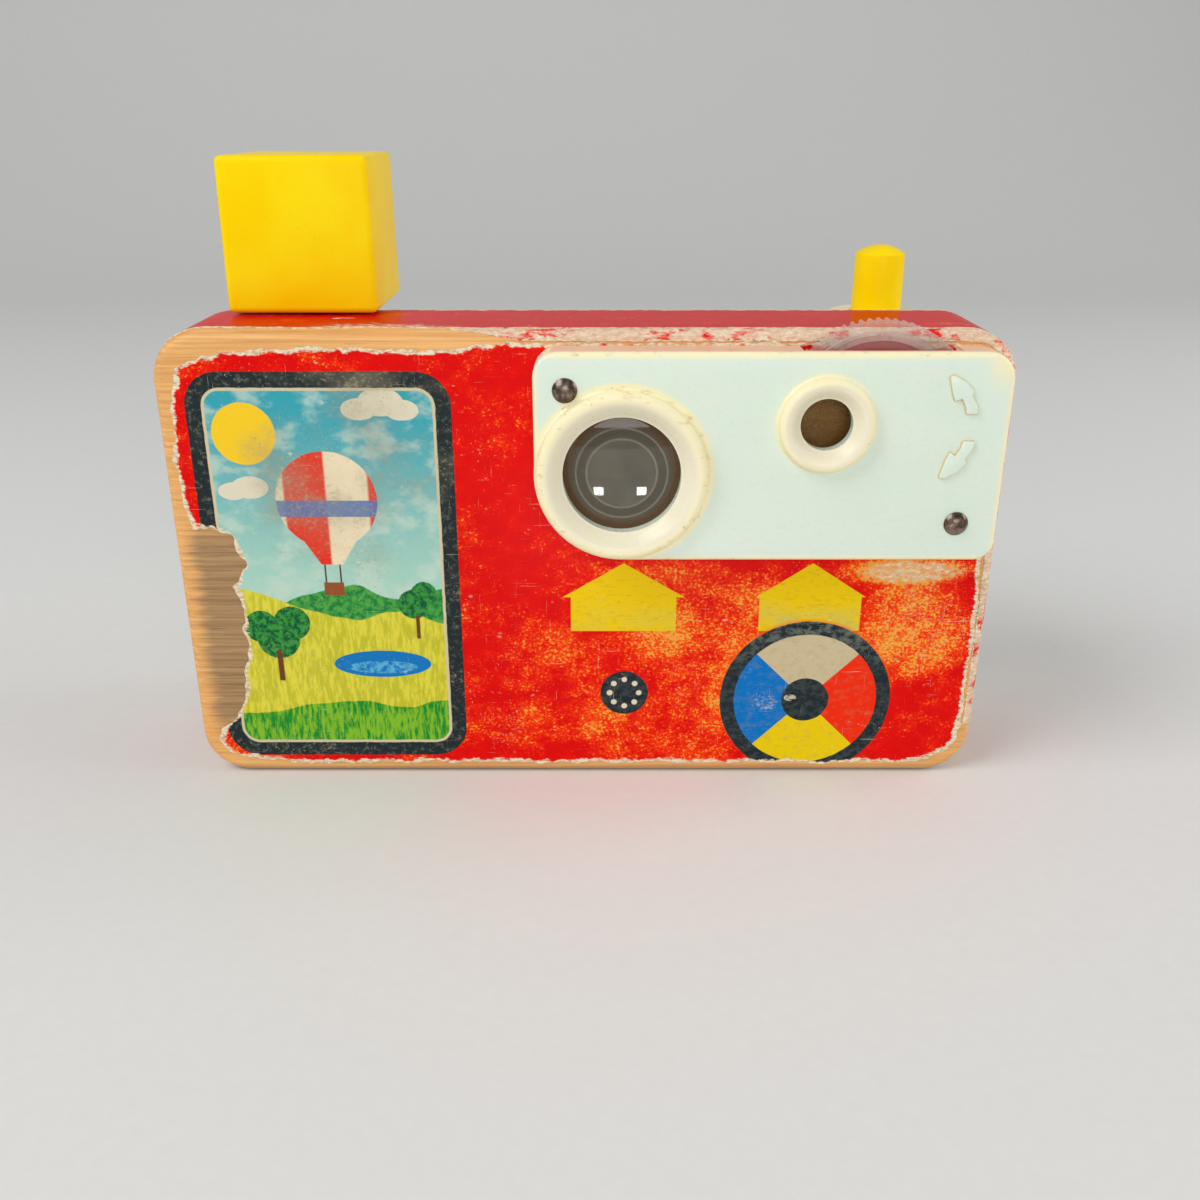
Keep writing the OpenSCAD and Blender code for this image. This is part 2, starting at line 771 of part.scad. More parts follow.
module cube_base() {
    side = cube_side - 2 * (cube_wall + press_gap);
    color("gold") from_front() translate([cube_x, cube_y, cube_z]) difference() {
        union() {
            translate([-side / 2, -side / 2, 0]) cube([side, side, cube_base_t]);
            cylinder(r = cube_hub_r, h = cube_hub_h);
        }
        translate([0, 0, -overrun]) cylinder(r = spindle_r + press_gap, h = cube_hub_h + 2 * overrun);
    }
}

module cube_spindle() {
    bottom = bracket_top - bracket_t;
    color("silver") from_front() translate([cube_x, cube_y, bottom])
        cylinder(r = spindle_r, h = cube_z + cube_hub_h - bottom);
}

// The flanged bush that carries the spindle in the cover's top wall
module spindle_bush() {
    color("ivory") from_front() translate([cube_x, cube_y, 0]) difference() {
        union() {
            translate([0, 0, cover_top]) cylinder(r = bush_r, h = bush_top - cover_top);
            translate([0, 0, bush_z]) cylinder(r = bush_step_r, h = cover_top - bush_z + press_gap);
        }
        translate([0, 0, bush_z - overrun])
            cylinder(r = spindle_r + run_fit, h = bush_top - bush_z + 2 * overrun);
    }
}

// Flat work in the cube's drive is drawn as seen from above
module cube_layer(z, t) {
    from_front() translate([cube_x, cube_y, z]) linear_extrude(t) children();
}

module cube_star() {
    color("white") cube_layer(star_z, star_t) difference() {
        ratchet_outline(360 / cube_turn, star_tip_r, star_root_r, star_angle);
        circle(spindle_r + press_gap);
    }
}

module cube_pinion() {
    color("whitesmoke") {
        cube_layer(pinion_z, pinion_t + press_gap) difference() {
            pinion_outline(cube_teeth, 90);
            circle(spindle_r + run_fit);
        }
        cube_layer(cube_flange_z, flange_t) difference() {
            circle(cube_flange_r);
            circle(spindle_r + run_fit);
        }
        cube_layer(cube_flange_z, flange_t + side_gap + star_t)
            blade_post_outline(star_blade_r, star_blade_len, star_angle + 180);
    }
}

module cube_pawl() {
    color("goldenrod") cube_layer(star_z + side_gap, blade_w)
        blade_outline(star_blade_r, star_blade_len, star_angle + 180);
}

module cube_detent() {
    color("goldenrod") cube_layer(star_z + side_gap, blade_w)
        blade_outline(star_blade_r, star_detent_len, star_angle);
}

// The bracket on the back of the block: a foot for the spindle and the detent's post
module spindle_bracket() {
    post = polar(star_detent_r, star_angle + atan2(star_detent_len, star_blade_r));
    arm_z = bracket_top - bracket_t;
    color("silver") from_front() difference() {
        union() {
            translate([cube_x - bracket_half, back_y, arm_z - bracket_leg_h])
                cube([2 * bracket_half, bracket_leg_t, bracket_leg_h + bracket_t]);
            translate([cube_x - bracket_half, back_y, arm_z])
                cube([2 * bracket_half, cube_y + bracket_arm_half - back_y, bracket_t]);
            translate([cube_x, cube_y - bracket_arm_half, arm_z])
                cube([post[0] + bracket_arm_half, 2 * bracket_arm_half, bracket_t]);
            translate([cube_x + post[0], cube_y + post[1], arm_z])
                cylinder(r = post_r, h = star_z + star_t - arm_z);
        }
        translate([cube_x, cube_y, arm_z - overrun])
            cylinder(r = spindle_r + run_fit, h = bracket_t + 2 * overrun);
    }
}

// The wheel of pictures: windows round its edge and a ratchet at its hub
module picture_wheel() {
    color("whitesmoke") from_front() translate([disc_x, 0, disc_z]) {
        upright(disc_y, ratchet_y) difference() {
            circle(picture_wheel_r);
            circle(axle_r + run_fit);
            for (k = [0 : pictures - 1])
                rotate(90 + 360 * k / pictures) translate([picture_ring_r - window_h / 2, -window_w / 2])
                    square([window_h, window_w]);
        }
        upright(ratchet_y - press_gap, ratchet_y + ratchet_t) difference() {
            ratchet_outline(pictures, ratchet_tip_r, ratchet_root_r, disc_pawl_angle);
            circle(axle_r + run_fit);
        }
    }
}

module picture_film() {
    color("olive", 0.6) from_front() translate([disc_x, 0, disc_z]) upright(ratchet_y, ratchet_y + film_t)
        difference() {
            circle(film_inner_r + film_w);
            circle(film_inner_r);
        }
}

module disc_axle() {
    color("silver") from_front()
        rod_y([disc_x, disc_z], body_d - axle_depth, clip_y + clip_t, axle_r);
}

module axle_clip() {
    color("dimgray") from_front() difference() {
        rod_y([disc_x, disc_z], clip_y, clip_y + clip_t, clip_r);
        rod_y([disc_x, disc_z], clip_y - overrun, clip_y + clip_t + overrun, axle_r + press_gap);
    }
}

module disc_pinion() {
    color("whitesmoke") from_front() translate([disc_x, 0, disc_z]) {
        upright(disc_gear_y - press_gap, disc_gear_y + disc_gear_t) difference() {
            pinion_outline(disc_teeth, 90);
            circle(axle_r + run_fit);
        }
        upright(disc_flange_y, disc_gear_y) difference() {
            circle(disc_flange_r);
            circle(axle_r + run_fit);
        }
        upright(ratchet_y + film_t + side_gap, disc_gear_y)
            blade_post_outline(disc_blade_r, disc_blade_len, disc_pawl_angle);
    }
}

module disc_pawl() {
    color("goldenrod") from_front() translate([disc_x, 0, disc_z])
        upright(disc_flange_y - side_gap - blade_w, disc_flange_y - side_gap)
            blade_outline(disc_blade_r, disc_blade_len, disc_pawl_angle);
}

module disc_detent() {
    color("goldenrod") from_front() translate([disc_x, 0, disc_z])
        upright(disc_flange_y - side_gap - blade_w, disc_flange_y - side_gap)
            blade_outline(disc_blade_r, disc_detent_len, disc_detent_angle);
}

// The sliding bar: two racks, a waist to the button and a plate with the slanted cam slot
module slide_bar() {
    cam_low = [button_x - stroke, cam_z - stroke];
    cam_high = [button_x, cam_z];
    waist_y = button_y - cam_t / 2;
    color("whitesmoke") from_front() difference() {
        union() {
            translate([cube_x, rack_y, bar_bottom + side_gap]) linear_extrude(bar_top - bar_bottom - side_gap)
                rack_outline(bar_left - cube_x, mesh_reach, bar_back_w);
            translate([disc_x, 0, rack_z]) upright(bar_front_y, bar_back_y)
                rack_outline(-2 * mesh_reach, rack_right - disc_x, bar_back_h);
            upright(bar_root_y, bar_back_y)
                translate([bar_left, bar_root_z]) square([rack_right - bar_left, bar_back_h]);
            upright(waist_y, waist_y + cam_t) {
                translate([disc_x, bar_root_z]) square([button_x - disc_x, bar_back_h]);
                cam_shape(cam_low, cam_high, cam_round_r, cam_round_r - bore_gap);
            }
        }
        upright(waist_y - overrun, waist_y + cam_t + overrun)
            cam_shape(cam_low, cam_high, cam_pin_r + run_fit, cam_pin_r + run_fit);
    }
}

// A slot of the width 2 * half with round ends of radius r between two points
module cam_shape(low, high, r, half) {
    span = high - low;
    translate(low) {
        circle(r);
        translate(span) circle(r);
        rotate(atan2(span[1], span[0])) translate([0, -half]) square([norm(span), 2 * half]);
    }
}

module button_profile() {
    cap_base = button_top - button_dome_h;
    top_r = button_r - button_draft;
    polygon([
        [0, stem_bottom], [stem_r, stem_bottom], [stem_r, stem_flange_top - stem_flange_t],
        [stem_flange_r, stem_flange_top - stem_flange_t], [stem_flange_r, stem_flange_top],
        [button_r, stem_flange_top], [button_r, collar_top], [top_r, cap_base],
        for (a = [0 : 15 : 90])
            [top_r - button_shoulder_r * (1 - cos(a)), cap_base + button_shoulder_r * sin(a)],
        [top_r / 2, button_top - (button_dome_h - button_shoulder_r) / 4], [0, button_top]
    ]);
}

module shutter_button() {
    slot_half = cam_t / 2 + side_gap;
    color("gold") from_front() translate([button_x, button_y, 0]) difference() {
        rotate_extrude() button_profile();
        translate([-stem_r - overrun, -slot_half, stem_bottom - overrun])
            cube([2 * (stem_r + overrun), 2 * slot_half, stem_slot_top - stem_bottom + overrun]);
        translate([0, stem_r + overrun, cam_z]) rotate([90, 0, 0])
            cylinder(r = cam_pin_r + press_gap, h = 2 * (stem_r + overrun));
    }
}

module plunger_pin() {
    half = sqrt(pow(stem_r, 2) - pow(cam_pin_r, 2));
    color("silver") from_front()
        rod_y([button_x, cam_z], button_y - half, button_y + half, cam_pin_r);
}

// The pale flanged guide that the button slides in
module button_collar() {
    color("ivory") from_front() translate([button_x, button_y, 0]) rotate_extrude() {
        bore_r = button_r + run_fit;
        translate([bore_r, collar_bottom]) square([collar_tube_r - bore_r, collar_top - collar_bottom]);
        translate([bore_r, cover_top]) square([collar_r - bore_r, collar_h - collar_edge_r]);
        translate([bore_r, cover_top]) square([collar_r - collar_edge_r - bore_r, collar_h]);
        translate([collar_r - collar_edge_r, collar_top - collar_edge_r]) circle(collar_edge_r);
    }
}

// The coil between the shelf and the stem's flange, swept as one tube
module return_spring() {
    rings = spring_turns * spring_ring_steps;
    points = [
        for (i = [0 : rings])
            let (turn = 360 * i / spring_ring_steps)
            let (z = spring_bottom + (spring_top - spring_bottom) * i / rings)
            for (j = [0 : spring_sides - 1])
                let (a = 360 * j / spring_sides)
                let (r = spring_r + spring_wire_r * cos(a))
                [r * cos(turn), r * sin(turn), z + spring_wire_r * sin(a)]
    ];
    walls = [
        for (i = [0 : rings - 1])
            for (j = [0 : spring_sides - 1])
                let (next = (j + 1) % spring_sides)
                let (here = i * spring_sides)
                let (there = here + spring_sides)
                each [[here + j, here + next, there + next], [here + j, there + next, there + j]]
    ];
    first_cap = [for (j = [1 : spring_sides - 2]) [0, j + 1, j]];
    last = rings * spring_sides;
    last_cap = [for (j = [1 : spring_sides - 2]) [last, last + j, last + j + 1]];
    color("silver") from_front() translate([button_x, button_y, 0])
        polyhedron(points, [for (f = concat(walls, first_cap, last_cap)) [f[0], f[2], f[1]]]);
}

// The moulded cover on the back: a shell with the eyepieces, the nail posts and the drive's guides
module rear_cover() {
    radii = same_corners(cover_corner_r);
    inner = same_corners(cover_corner_r - cover_wall);
    sight_tube_r = sight_hole_r + sight_tube_wall;
    detent_post_turn = disc_detent_angle + atan2(disc_detent_len, disc_blade_r);
    detent_post = polar(norm([disc_blade_r, disc_detent_len]), detent_post_turn);
    color("ivory") from_front() difference() {
        union() {
            difference() {
                translate([0, back_y, 0]) hull()
                    corner_pucks(cover_left, cover_bottom, cover_right, cover_top, cover_d, radii,
                        cover_edge_r, 0);
                upright(back_y - overrun, cover_inner_y)
                    rounded_outline(cover_left + cover_wall, cover_bottom + cover_wall,
                        cover_right - cover_wall, cover_top - cover_wall, inner);
            }
            turned_back([view_x, view_z], cover_back_y)
                ring_profile(eyepiece_hole_r, eyepiece_r, eyepiece_proud, eyepiece_rim_r);
            turned_back([sight_x, sight_z], cover_back_y)
                ring_profile(sight_hole_r, sight_eyepiece_r, eyepiece_proud, eyepiece_rim_r);
            rod_y([view_x, view_z], cover_inner_y - eyepiece_seat_d, cover_inner_y + press_gap,
                eyepiece_lens_r + seat_wall);
            rod_y([sight_x, sight_z], back_y, cover_inner_y + press_gap, sight_tube_r);
            for (at = cover_nails_at)
                rod_y(at, back_y, cover_inner_y + press_gap, cover_post_r);
            rod_y([disc_x + detent_post[0], disc_z + detent_post[1]], ratchet_y + film_t + side_gap,
                cover_inner_y + press_gap, post_r);
            bar_guide(left_guide_x, bar_root_y, bar_back_y);
            bar_guide(right_guide_x, button_y - cam_t / 2, button_y + cam_t / 2);
            translate([button_x - shelf_half, shelf_front_y, shelf_z])
                cube([2 * shelf_half, cover_inner_y + press_gap - shelf_front_y, shelf_t]);
        }
        rod_y([view_x, view_z], back_y, cover_back_y + eyepiece_proud + overrun, eyepiece_hole_r);
        rod_y([view_x, view_z], back_y, cover_inner_y, eyepiece_lens_r + press_gap);
        rod_y([sight_x, sight_z], back_y - overrun, cover_back_y + eyepiece_proud + overrun, sight_hole_r);
        for (at = cover_nails_at)
            rod_y(at, back_y - overrun, cover_back_y + overrun, nail_r + press_gap);
        translate([cube_x, cube_y, cover_top - cover_wall - overrun])
            cylinder(r = bush_step_r + press_gap, h = cover_wall + 2 * overrun);
        translate([button_x, button_y, cover_top - cover_wall - overrun])
            cylinder(r = collar_tube_r + press_gap, h = cover_wall + 2 * overrun);
        translate([button_x, button_y, shelf_z - overrun])
            cylinder(r = stem_r + run_fit, h = shelf_t + 2 * overrun);
    }
}

// A loop that the bar slides through
module bar_guide(x, y0, y1) {
    low = bar_root_z - side_gap;
    high = bar_top + side_gap;
    front = y0 - side_gap;
    back = y1 + side_gap;
    difference() {
        translate([x - guide_len / 2, front - guide_wall, low - guide_wall])
            cube([guide_len, cover_inner_y + press_gap - front + guide_wall, high - low + 2 * guide_wall]);
        translate([x - guide_len, front, low]) cube([2 * guide_len, back - front, high - low]);
    }
}

module cover_nails() {
    color("dimgray") from_front()
        for (at = cover_nails_at) {
            rod_y(at, cover_back_y - cover_nail_len, cover_back_y + press_gap, nail_r);
            turned_back(at, cover_back_y) nail_head_profile();
        }
}

module eyepiece_lens() {
    color("lightgray", 0.5) from_front() {
        rod_y([view_x, view_z], cover_inner_y - eyepiece_lens_t, cover_inner_y, eyepiece_lens_r);
        turned_back([view_x, view_z], cover_inner_y)
            cap_profile(eyepiece_hole_r - bore_gap, eyepiece_lens_rise);
    }
}

wood_body();
front_litho();
back_litho();
edge_litho();
front_plate();
plate_nails();
picture_lens();
light_tube();
color_wheel();
gel_yellow();
gel_red();
gel_clear();
gel_blue();
wheel_pin();
flash_cube();
cube_base();
cube_spindle();
spindle_bush();
cube_star();
cube_pinion();
cube_pawl();
cube_detent();
spindle_bracket();
picture_wheel();
picture_film();
disc_axle();
axle_clip();
disc_pinion();
disc_pawl();
disc_detent();
slide_bar();
shutter_button();
plunger_pin();
button_collar();
return_spring();
rear_cover();
cover_nails();
eyepiece_lens();
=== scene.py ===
import math
import random
import bpy
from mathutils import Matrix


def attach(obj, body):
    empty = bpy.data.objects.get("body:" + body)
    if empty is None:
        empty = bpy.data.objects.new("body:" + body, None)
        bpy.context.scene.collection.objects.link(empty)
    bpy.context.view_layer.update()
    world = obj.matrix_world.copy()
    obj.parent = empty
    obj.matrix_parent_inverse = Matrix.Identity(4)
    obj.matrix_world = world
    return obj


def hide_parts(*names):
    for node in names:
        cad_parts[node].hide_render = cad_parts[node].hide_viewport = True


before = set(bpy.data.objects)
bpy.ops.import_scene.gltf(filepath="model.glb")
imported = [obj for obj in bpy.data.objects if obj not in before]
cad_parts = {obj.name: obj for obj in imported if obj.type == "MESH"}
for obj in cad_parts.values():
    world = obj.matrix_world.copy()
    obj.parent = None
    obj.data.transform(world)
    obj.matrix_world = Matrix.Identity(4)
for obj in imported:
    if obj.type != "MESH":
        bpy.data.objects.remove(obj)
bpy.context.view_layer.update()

# Wood block: a slab of hardwood with sanded edges, the body that everything else is nailed to.
# It is bored through for both viewers and pocketed at the back for the cube's clutch.
MM = 0.001
WOOD_FRONT = -21.875
block_w, block_h, block_d = 171.0, 98.3, 28.5
corner_r, edge_round = 10.0, 2.0
viewer, viewer_bore = (7.4, 71.5), 10.6
sight, sight_bore = (47.0, 81.7), 5.2
wheel_at, wheel_pin_end = (57.3, 81.7), 11
disc_at, disc_axle_end = (7.4, 47.5), 16.5
pin_bore = 2.02
clutch_at, clutch_r, clutch_deep = (-58.7, 63.18), 12.7, 5.5
overrun = 2


def at_depth(x, d, z):
    """A place in metres, with d measured in mm behind the wood's front."""
    return (x * MM, (WOOD_FRONT + d) * MM, z * MM)


def clear():
    """Deselects everything, in object mode."""
    if bpy.context.mode != "OBJECT":
        bpy.ops.object.mode_set(mode="OBJECT")
    bpy.ops.object.select_all(action="DESELECT")


def alone(piece):
    """Leaves piece as the one selected and active object."""
    clear()
    piece.select_set(True)
    bpy.context.view_layer.objects.active = piece


def settle(piece, name):
    """Names a fresh primitive and puts its place into its mesh."""
    piece.name = name
    piece.data.name = name
    alone(piece)
    bpy.ops.object.transform_apply(location=True, rotation=True, scale=True)
    return piece


def pick(piece, kind, test):
    """Edit mode with the faces, edges or vertices selected that pass the test, in mm."""
    alone(piece)
    mesh = piece.data
    bpy.context.tool_settings.mesh_select_mode = (kind == "VERT", kind == "EDGE", kind == "FACE")
    for group in (mesh.vertices, mesh.edges, mesh.polygons):
        group.foreach_set("select", [False] * len(group))
    points = [v.co / MM for v in mesh.vertices]
    if kind == "FACE":
        for face in mesh.polygons:
            face.select = test(face.center / MM, face.normal)
    elif kind == "EDGE":
        for edge in mesh.edges:
            edge.select = test(points[edge.vertices[0]], points[edge.vertices[1]])
    else:
        for vertex in mesh.vertices:
            vertex.select = test(points[vertex.index])
    bpy.ops.object.mode_set(mode="EDIT")


def done():
    bpy.ops.object.mode_set(mode="OBJECT")


def apply_modifier(piece, kind, **settings):
    alone(piece)
    modifier = piece.modifiers.new(kind.title(), kind)
    for key, value in settings.items():
        setattr(modifier, key, value)
    bpy.ops.object.modifier_apply(modifier=modifier.name)


def combine(piece, tool, operation):
    """Cuts or joins piece with tool, and throws the tool away."""
    apply_modifier(piece, "BOOLEAN", operation=operation, object=tool, solver="EXACT")
    bpy.data.objects.remove(tool, do_unlink=True)


def box(name, middle, sides):
    """A box about a middle of (x, depth, z)."""
    clear()
    bpy.ops.mesh.primitive_cube_add(size=1, location=at_depth(*middle))
    piece = bpy.context.active_object
    piece.scale = tuple(side * MM for side in sides)
    return settle(piece, name)


def rod(name, at, d0, d1, radius, sides):
    """A round bar along the depth."""
    clear()
    bpy.ops.mesh.primitive_cylinder_add(
        vertices=sides, radius=radius * MM, depth=(d1 - d0) * MM,
        location=at_depth(at[0], (d0 + d1) / 2, at[1]), rotation=(math.pi / 2, 0, 0))
    return settle(bpy.context.active_object, name)


def drill(piece, at, d0, d1, radius, sides=64):
    """A round hole along the depth."""
    combine(piece, rod("drill", at, d0, d1, radius, sides), "DIFFERENCE")


def smooth(piece, angle=35):
    alone(piece)
    bpy.ops.object.shade_smooth_by_angle(angle=math.radians(angle))


wood_block = box("wood_block", (0, block_d / 2, block_h / 2), (block_w, block_d, block_h))
pick(wood_block, "EDGE", lambda a, b: abs(a.x - b.x) < 0.1 and abs(a.z - b.z) < 0.1)
bpy.ops.mesh.bevel(offset=corner_r * MM, segments=12, affect="EDGES")
done()
front_y, back_y = WOOD_FRONT, WOOD_FRONT + block_d
pick(wood_block, "EDGE",
     lambda a, b: abs(a.y - b.y) < 0.1 and (abs(a.y - front_y) < 0.1 or abs(a.y - back_y) < 0.1))
bpy.ops.mesh.bevel(offset=edge_round * MM, segments=6, affect="EDGES")
done()
drill(wood_block, viewer, -overrun, block_d + overrun, viewer_bore, 96)
drill(wood_block, sight, -overrun, block_d + overrun, sight_bore)
drill(wood_block, wheel_at, -overrun, wheel_pin_end, pin_bore, 32)
drill(wood_block, disc_at, disc_axle_end, block_d + overrun, pin_bore, 32)
drill(wood_block, clutch_at, block_d - clutch_deep, block_d + overrun, clutch_r, 96)
smooth(wood_block)


class Reading:
    """A value over a surface. Sums and products of readings become Math nodes."""

    def __init__(self, tree, socket):
        self.tree = tree
        self.socket = socket

    def work(self, operation, *others):
        node = self.tree.nodes.new("ShaderNodeMath")
        node.operation = operation
        for slot_number, value in enumerate((self, *others)):
            wire(self.tree, value, node.inputs[slot_number])
        return Reading(self.tree, node.outputs[0])

    def __add__(self, other):
        return self.work("ADD", other)

    def __sub__(self, other):
        return self.work("SUBTRACT", other)

    def __mul__(self, other):
        return self.work("MULTIPLY", other)

    def __neg__(self):
        return self.work("MULTIPLY", -1.0)

    def size(self):
        return self.work("ABSOLUTE")

    def lower(self, other):
        return self.work("MINIMUM", other)

    def higher(self, other):
        return self.work("MAXIMUM", other)

    def ramp(self, low, high):
        """0 at low, 1 at high, smooth between, whichever is larger."""
        node = self.tree.nodes.new("ShaderNodeMapRange")
        node.interpolation_type = "SMOOTHSTEP"
        flip = low > high
        wire(self.tree, self, node.inputs["Value"])
        node.inputs["From Min"].default_value = min(low, high)
        node.inputs["From Max"].default_value = max(low, high)
        node.inputs["To Min"].default_value = 1.0 if flip else 0.0
        node.inputs["To Max"].default_value = 0.0 if flip else 1.0
        return Reading(self.tree, node.outputs["Result"])


def wire(tree, value, socket):
    """Links a reading to a socket, or sets a plain number or colour on it."""
    if isinstance(value, Reading):
        tree.links.new(value.socket, socket)
    elif isinstance(value, tuple):
        socket.default_value = (*value, 1.0)
    else:
        socket.default_value = value


def rgb(*screen):
    """A colour in linear light, given as it looks on a screen: red, green and blue from 0 to 255."""
    return tuple(((c / 255 + 0.055) / 1.055) ** 2.4 if c > 10 else c / 255 / 12.92 for c in screen)


def mix(tree, share, below, above):
    node = tree.nodes.new("ShaderNodeMix")
    node.data_type = "RGBA"
    wire(tree, share, node.inputs[0])
    wire(tree, below, node.inputs[6])
    wire(tree, above, node.inputs[7])
    return Reading(tree, node.outputs[2])


def place_mm(tree):
    """The piece's own coordinates, in mm."""
    where = tree.nodes.new("ShaderNodeTexCoord")
    scale = tree.nodes.new("ShaderNodeMapping")
    scale.inputs["Scale"].default_value = (1 / MM, 1 / MM, 1 / MM)
    tree.links.new(where.outputs["Object"], scale.inputs["Vector"])
    return Reading(tree, scale.outputs["Vector"])


def along(tree, place):
    """The three coordinates of a place."""
    node = tree.nodes.new("ShaderNodeSeparateXYZ")
    wire(tree, place, node.inputs[0])
    return [Reading(tree, out) for out in node.outputs]


def noise(tree, place, stretch, detail=4.0, roughness=0.55, turn=0.0):
    """Cloudy noise whose grains measure about stretch mm along each axis."""
    mapping = tree.nodes.new("ShaderNodeMapping")
    mapping.inputs["Rotation"].default_value = (0, turn, 0)
    mapping.inputs["Scale"].default_value = tuple(1 / s for s in stretch)
    wire(tree, place, mapping.inputs["Vector"])
    node = tree.nodes.new("ShaderNodeTexNoise")
    node.inputs["Scale"].default_value = 1.0
    node.inputs["Detail"].default_value = detail
    node.inputs["Roughness"].default_value = roughness
    tree.links.new(mapping.outputs["Vector"], node.inputs["Vector"])
    return Reading(tree, node.outputs["Fac"])


def relief(tree, height, depth_mm, strength=1.0):
    """A normal from a height field that is depth_mm deep."""
    bump = tree.nodes.new("ShaderNodeBump")
    bump.inputs["Distance"].default_value = depth_mm * MM
    bump.inputs["Strength"].default_value = strength
    wire(tree, height, bump.inputs["Height"])
    return Reading(tree, bump.outputs["Normal"])


def new_finish(name):
    """A material with its node tree, its shader and the place on the piece in mm."""
    finish = bpy.data.materials.new(name)
    finish.use_nodes = True
    tree = finish.node_tree
    shader = tree.nodes["Principled BSDF"]
    return finish, tree, shader, place_mm(tree)


def paint(tree, shader, **values):
    for key, value in values.items():
        wire(tree, value, shader.inputs[key.replace("_", " ")])


def coat(piece, finish):
    piece.data.materials.clear()
    piece.data.materials.append(finish)


bare_wood, tree, shader, place = new_finish("bare_wood")
x, y, z = along(tree, place)
streak = noise(tree, place, (46, 2.0, 0.7), 5, 0.6)
pores = noise(tree, place, (9, 0.5, 0.22), 3, 0.6)
blotch = noise(tree, place, (22, 18, 18), 4)
ragged = noise(tree, place, (9, 4, 0.9), 4)
tone = mix(tree, streak.ramp(0.34, 0.68), rgb(218, 156, 88), rgb(244, 188, 114))
tone = mix(tree, blotch.ramp(0.42, 0.7) * 0.35, tone, rgb(252, 176, 98))
tone = mix(tree, pores.ramp(0.56, 0.74) * 0.4, tone, rgb(140, 92, 52))
handled = (x + ragged * 7.0).ramp(-80.6, -76.4) * x.ramp(-66, -70) * z.ramp(62, 54) * z.ramp(7, 15)
handled = handled * y.ramp(-20.4, -21.6)
grimy = mix(tree, streak.ramp(0.3, 0.7), rgb(140, 108, 72), rgb(178, 142, 98))
grimy = mix(tree, pores.ramp(0.52, 0.72) * 0.5, grimy, rgb(92, 66, 42))
tone = mix(tree, handled * 0.92, tone, grimy)
# Painted shade: the wood darkens towards its bottom edge, where the block meets the floor
tone = mix(tree, z.ramp(2.6, 0.3) * 0.45, tone, rgb(150, 122, 88))
paint(tree, shader, Base_Color=tone, Roughness=streak.ramp(0.2, 0.9) * 0.2 + 0.5,
      Normal=relief(tree, pores * 0.6 + streak * 0.4, 0.12, 0.6))
coat(wood_block, bare_wood)
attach(wood_block, "camera")
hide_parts("wood_body")

# Front paper: one lithographed sheet glued to the block's face and varnished.
# Its edges are torn back to the wood, most of all at the lower left where hands have held it.
sheet_t = 0.25
chance = random.Random(7)


def torn_outline(corners, step=0.8, rough=0.3):
    """Points round a torn edge: short steps between the corners, each a little off the line."""
    points = []
    drift = 0.0
    for (x0, z0), (x1, z1) in zip(corners, corners[1:] + corners[:1]):
        length = math.hypot(x1 - x0, z1 - z0)
        count = max(1, round(length / step))
        for k in range(count):
            drift = 0.6 * drift + chance.uniform(-rough, rough)
            share = k / count
            points.append((x0 + (x1 - x0) * share - (z1 - z0) / length * drift,
                           z0 + (z1 - z0) * share + (x1 - x0) / length * drift))
    return points


def cut_shape(name, outline, d0, d1):
    """A flat shape with the given outline, seen from the front, and depth from d0 to d1."""
    clear()
    bpy.ops.mesh.primitive_circle_add(vertices=len(outline), radius=MM, fill_type="NGON")
    piece = bpy.context.active_object
    for vertex, (px, pz) in zip(piece.data.vertices, outline):
        vertex.co = at_depth(px, d0, pz)
    pick(piece, "FACE", lambda centre, normal: True)
    bpy.ops.mesh.extrude_region_move(TRANSFORM_OT_translate={"value": (0, (d1 - d0) * MM, 0)})
    bpy.ops.mesh.select_all(action="SELECT")
    bpy.ops.mesh.normals_make_consistent(inside=False)
    done()
    return settle(piece, name)


def torn_rim(piece, outline, width, facing):
    """Insets the facing side of a sheet along its torn outline.

    The inner line is smoothed, so that it never folds over."""
    pick(piece, "FACE", lambda centre, normal: normal.y * facing > 0.9)
    bpy.ops.mesh.inset(thickness=0.05 * MM, depth=0)
    done()
    count = len(outline)
    number = {(round(px, 2), round(pz, 2)): k for k, (px, pz) in enumerate(outline)}
    vertices = piece.data.vertices
    facing_faces = [face for face in piece.data.polygons if face.normal.y * facing > 0.9]
    inner = set(max(facing_faces, key=lambda face: len(face.vertices)).vertices)
    for edge in piece.data.edges:
        inside, outside = edge.vertices if edge.vertices[0] in inner else reversed(edge.vertices)
        if inside in inner and outside not in inner:
            k = number[(round(vertices[outside].co.x / MM, 2), round(vertices[outside].co.z / MM, 2))]
            near = [outline[(k + j) % count] for j in range(-5, 6)]
            mid_x, mid_z = (sum(point[i] for point in near) / len(near) for i in (0, 1))
            run_x, run_z = near[-1][0] - near[0][0], near[-1][1] - near[0][1]
            run = math.hypot(run_x, run_z)
            vertices[inside].co.x = (mid_x - run_z / run * width) * MM
            vertices[inside].co.z = (mid_z + run_x / run * width) * MM


def mark_torn(piece, outline):
    """An attribute that is 1 along the torn outline and 0 elsewhere."""
    edge = {(round(px, 2), round(pz, 2)) for px, pz in outline}
    torn = piece.data.attributes.new("torn", "FLOAT", "POINT")
    for vertex in piece.data.vertices:
        key = (round(vertex.co.x / MM, 2), round(vertex.co.z / MM, 2))
        torn.data[vertex.index].value = 1.0 if key in edge else 0.0


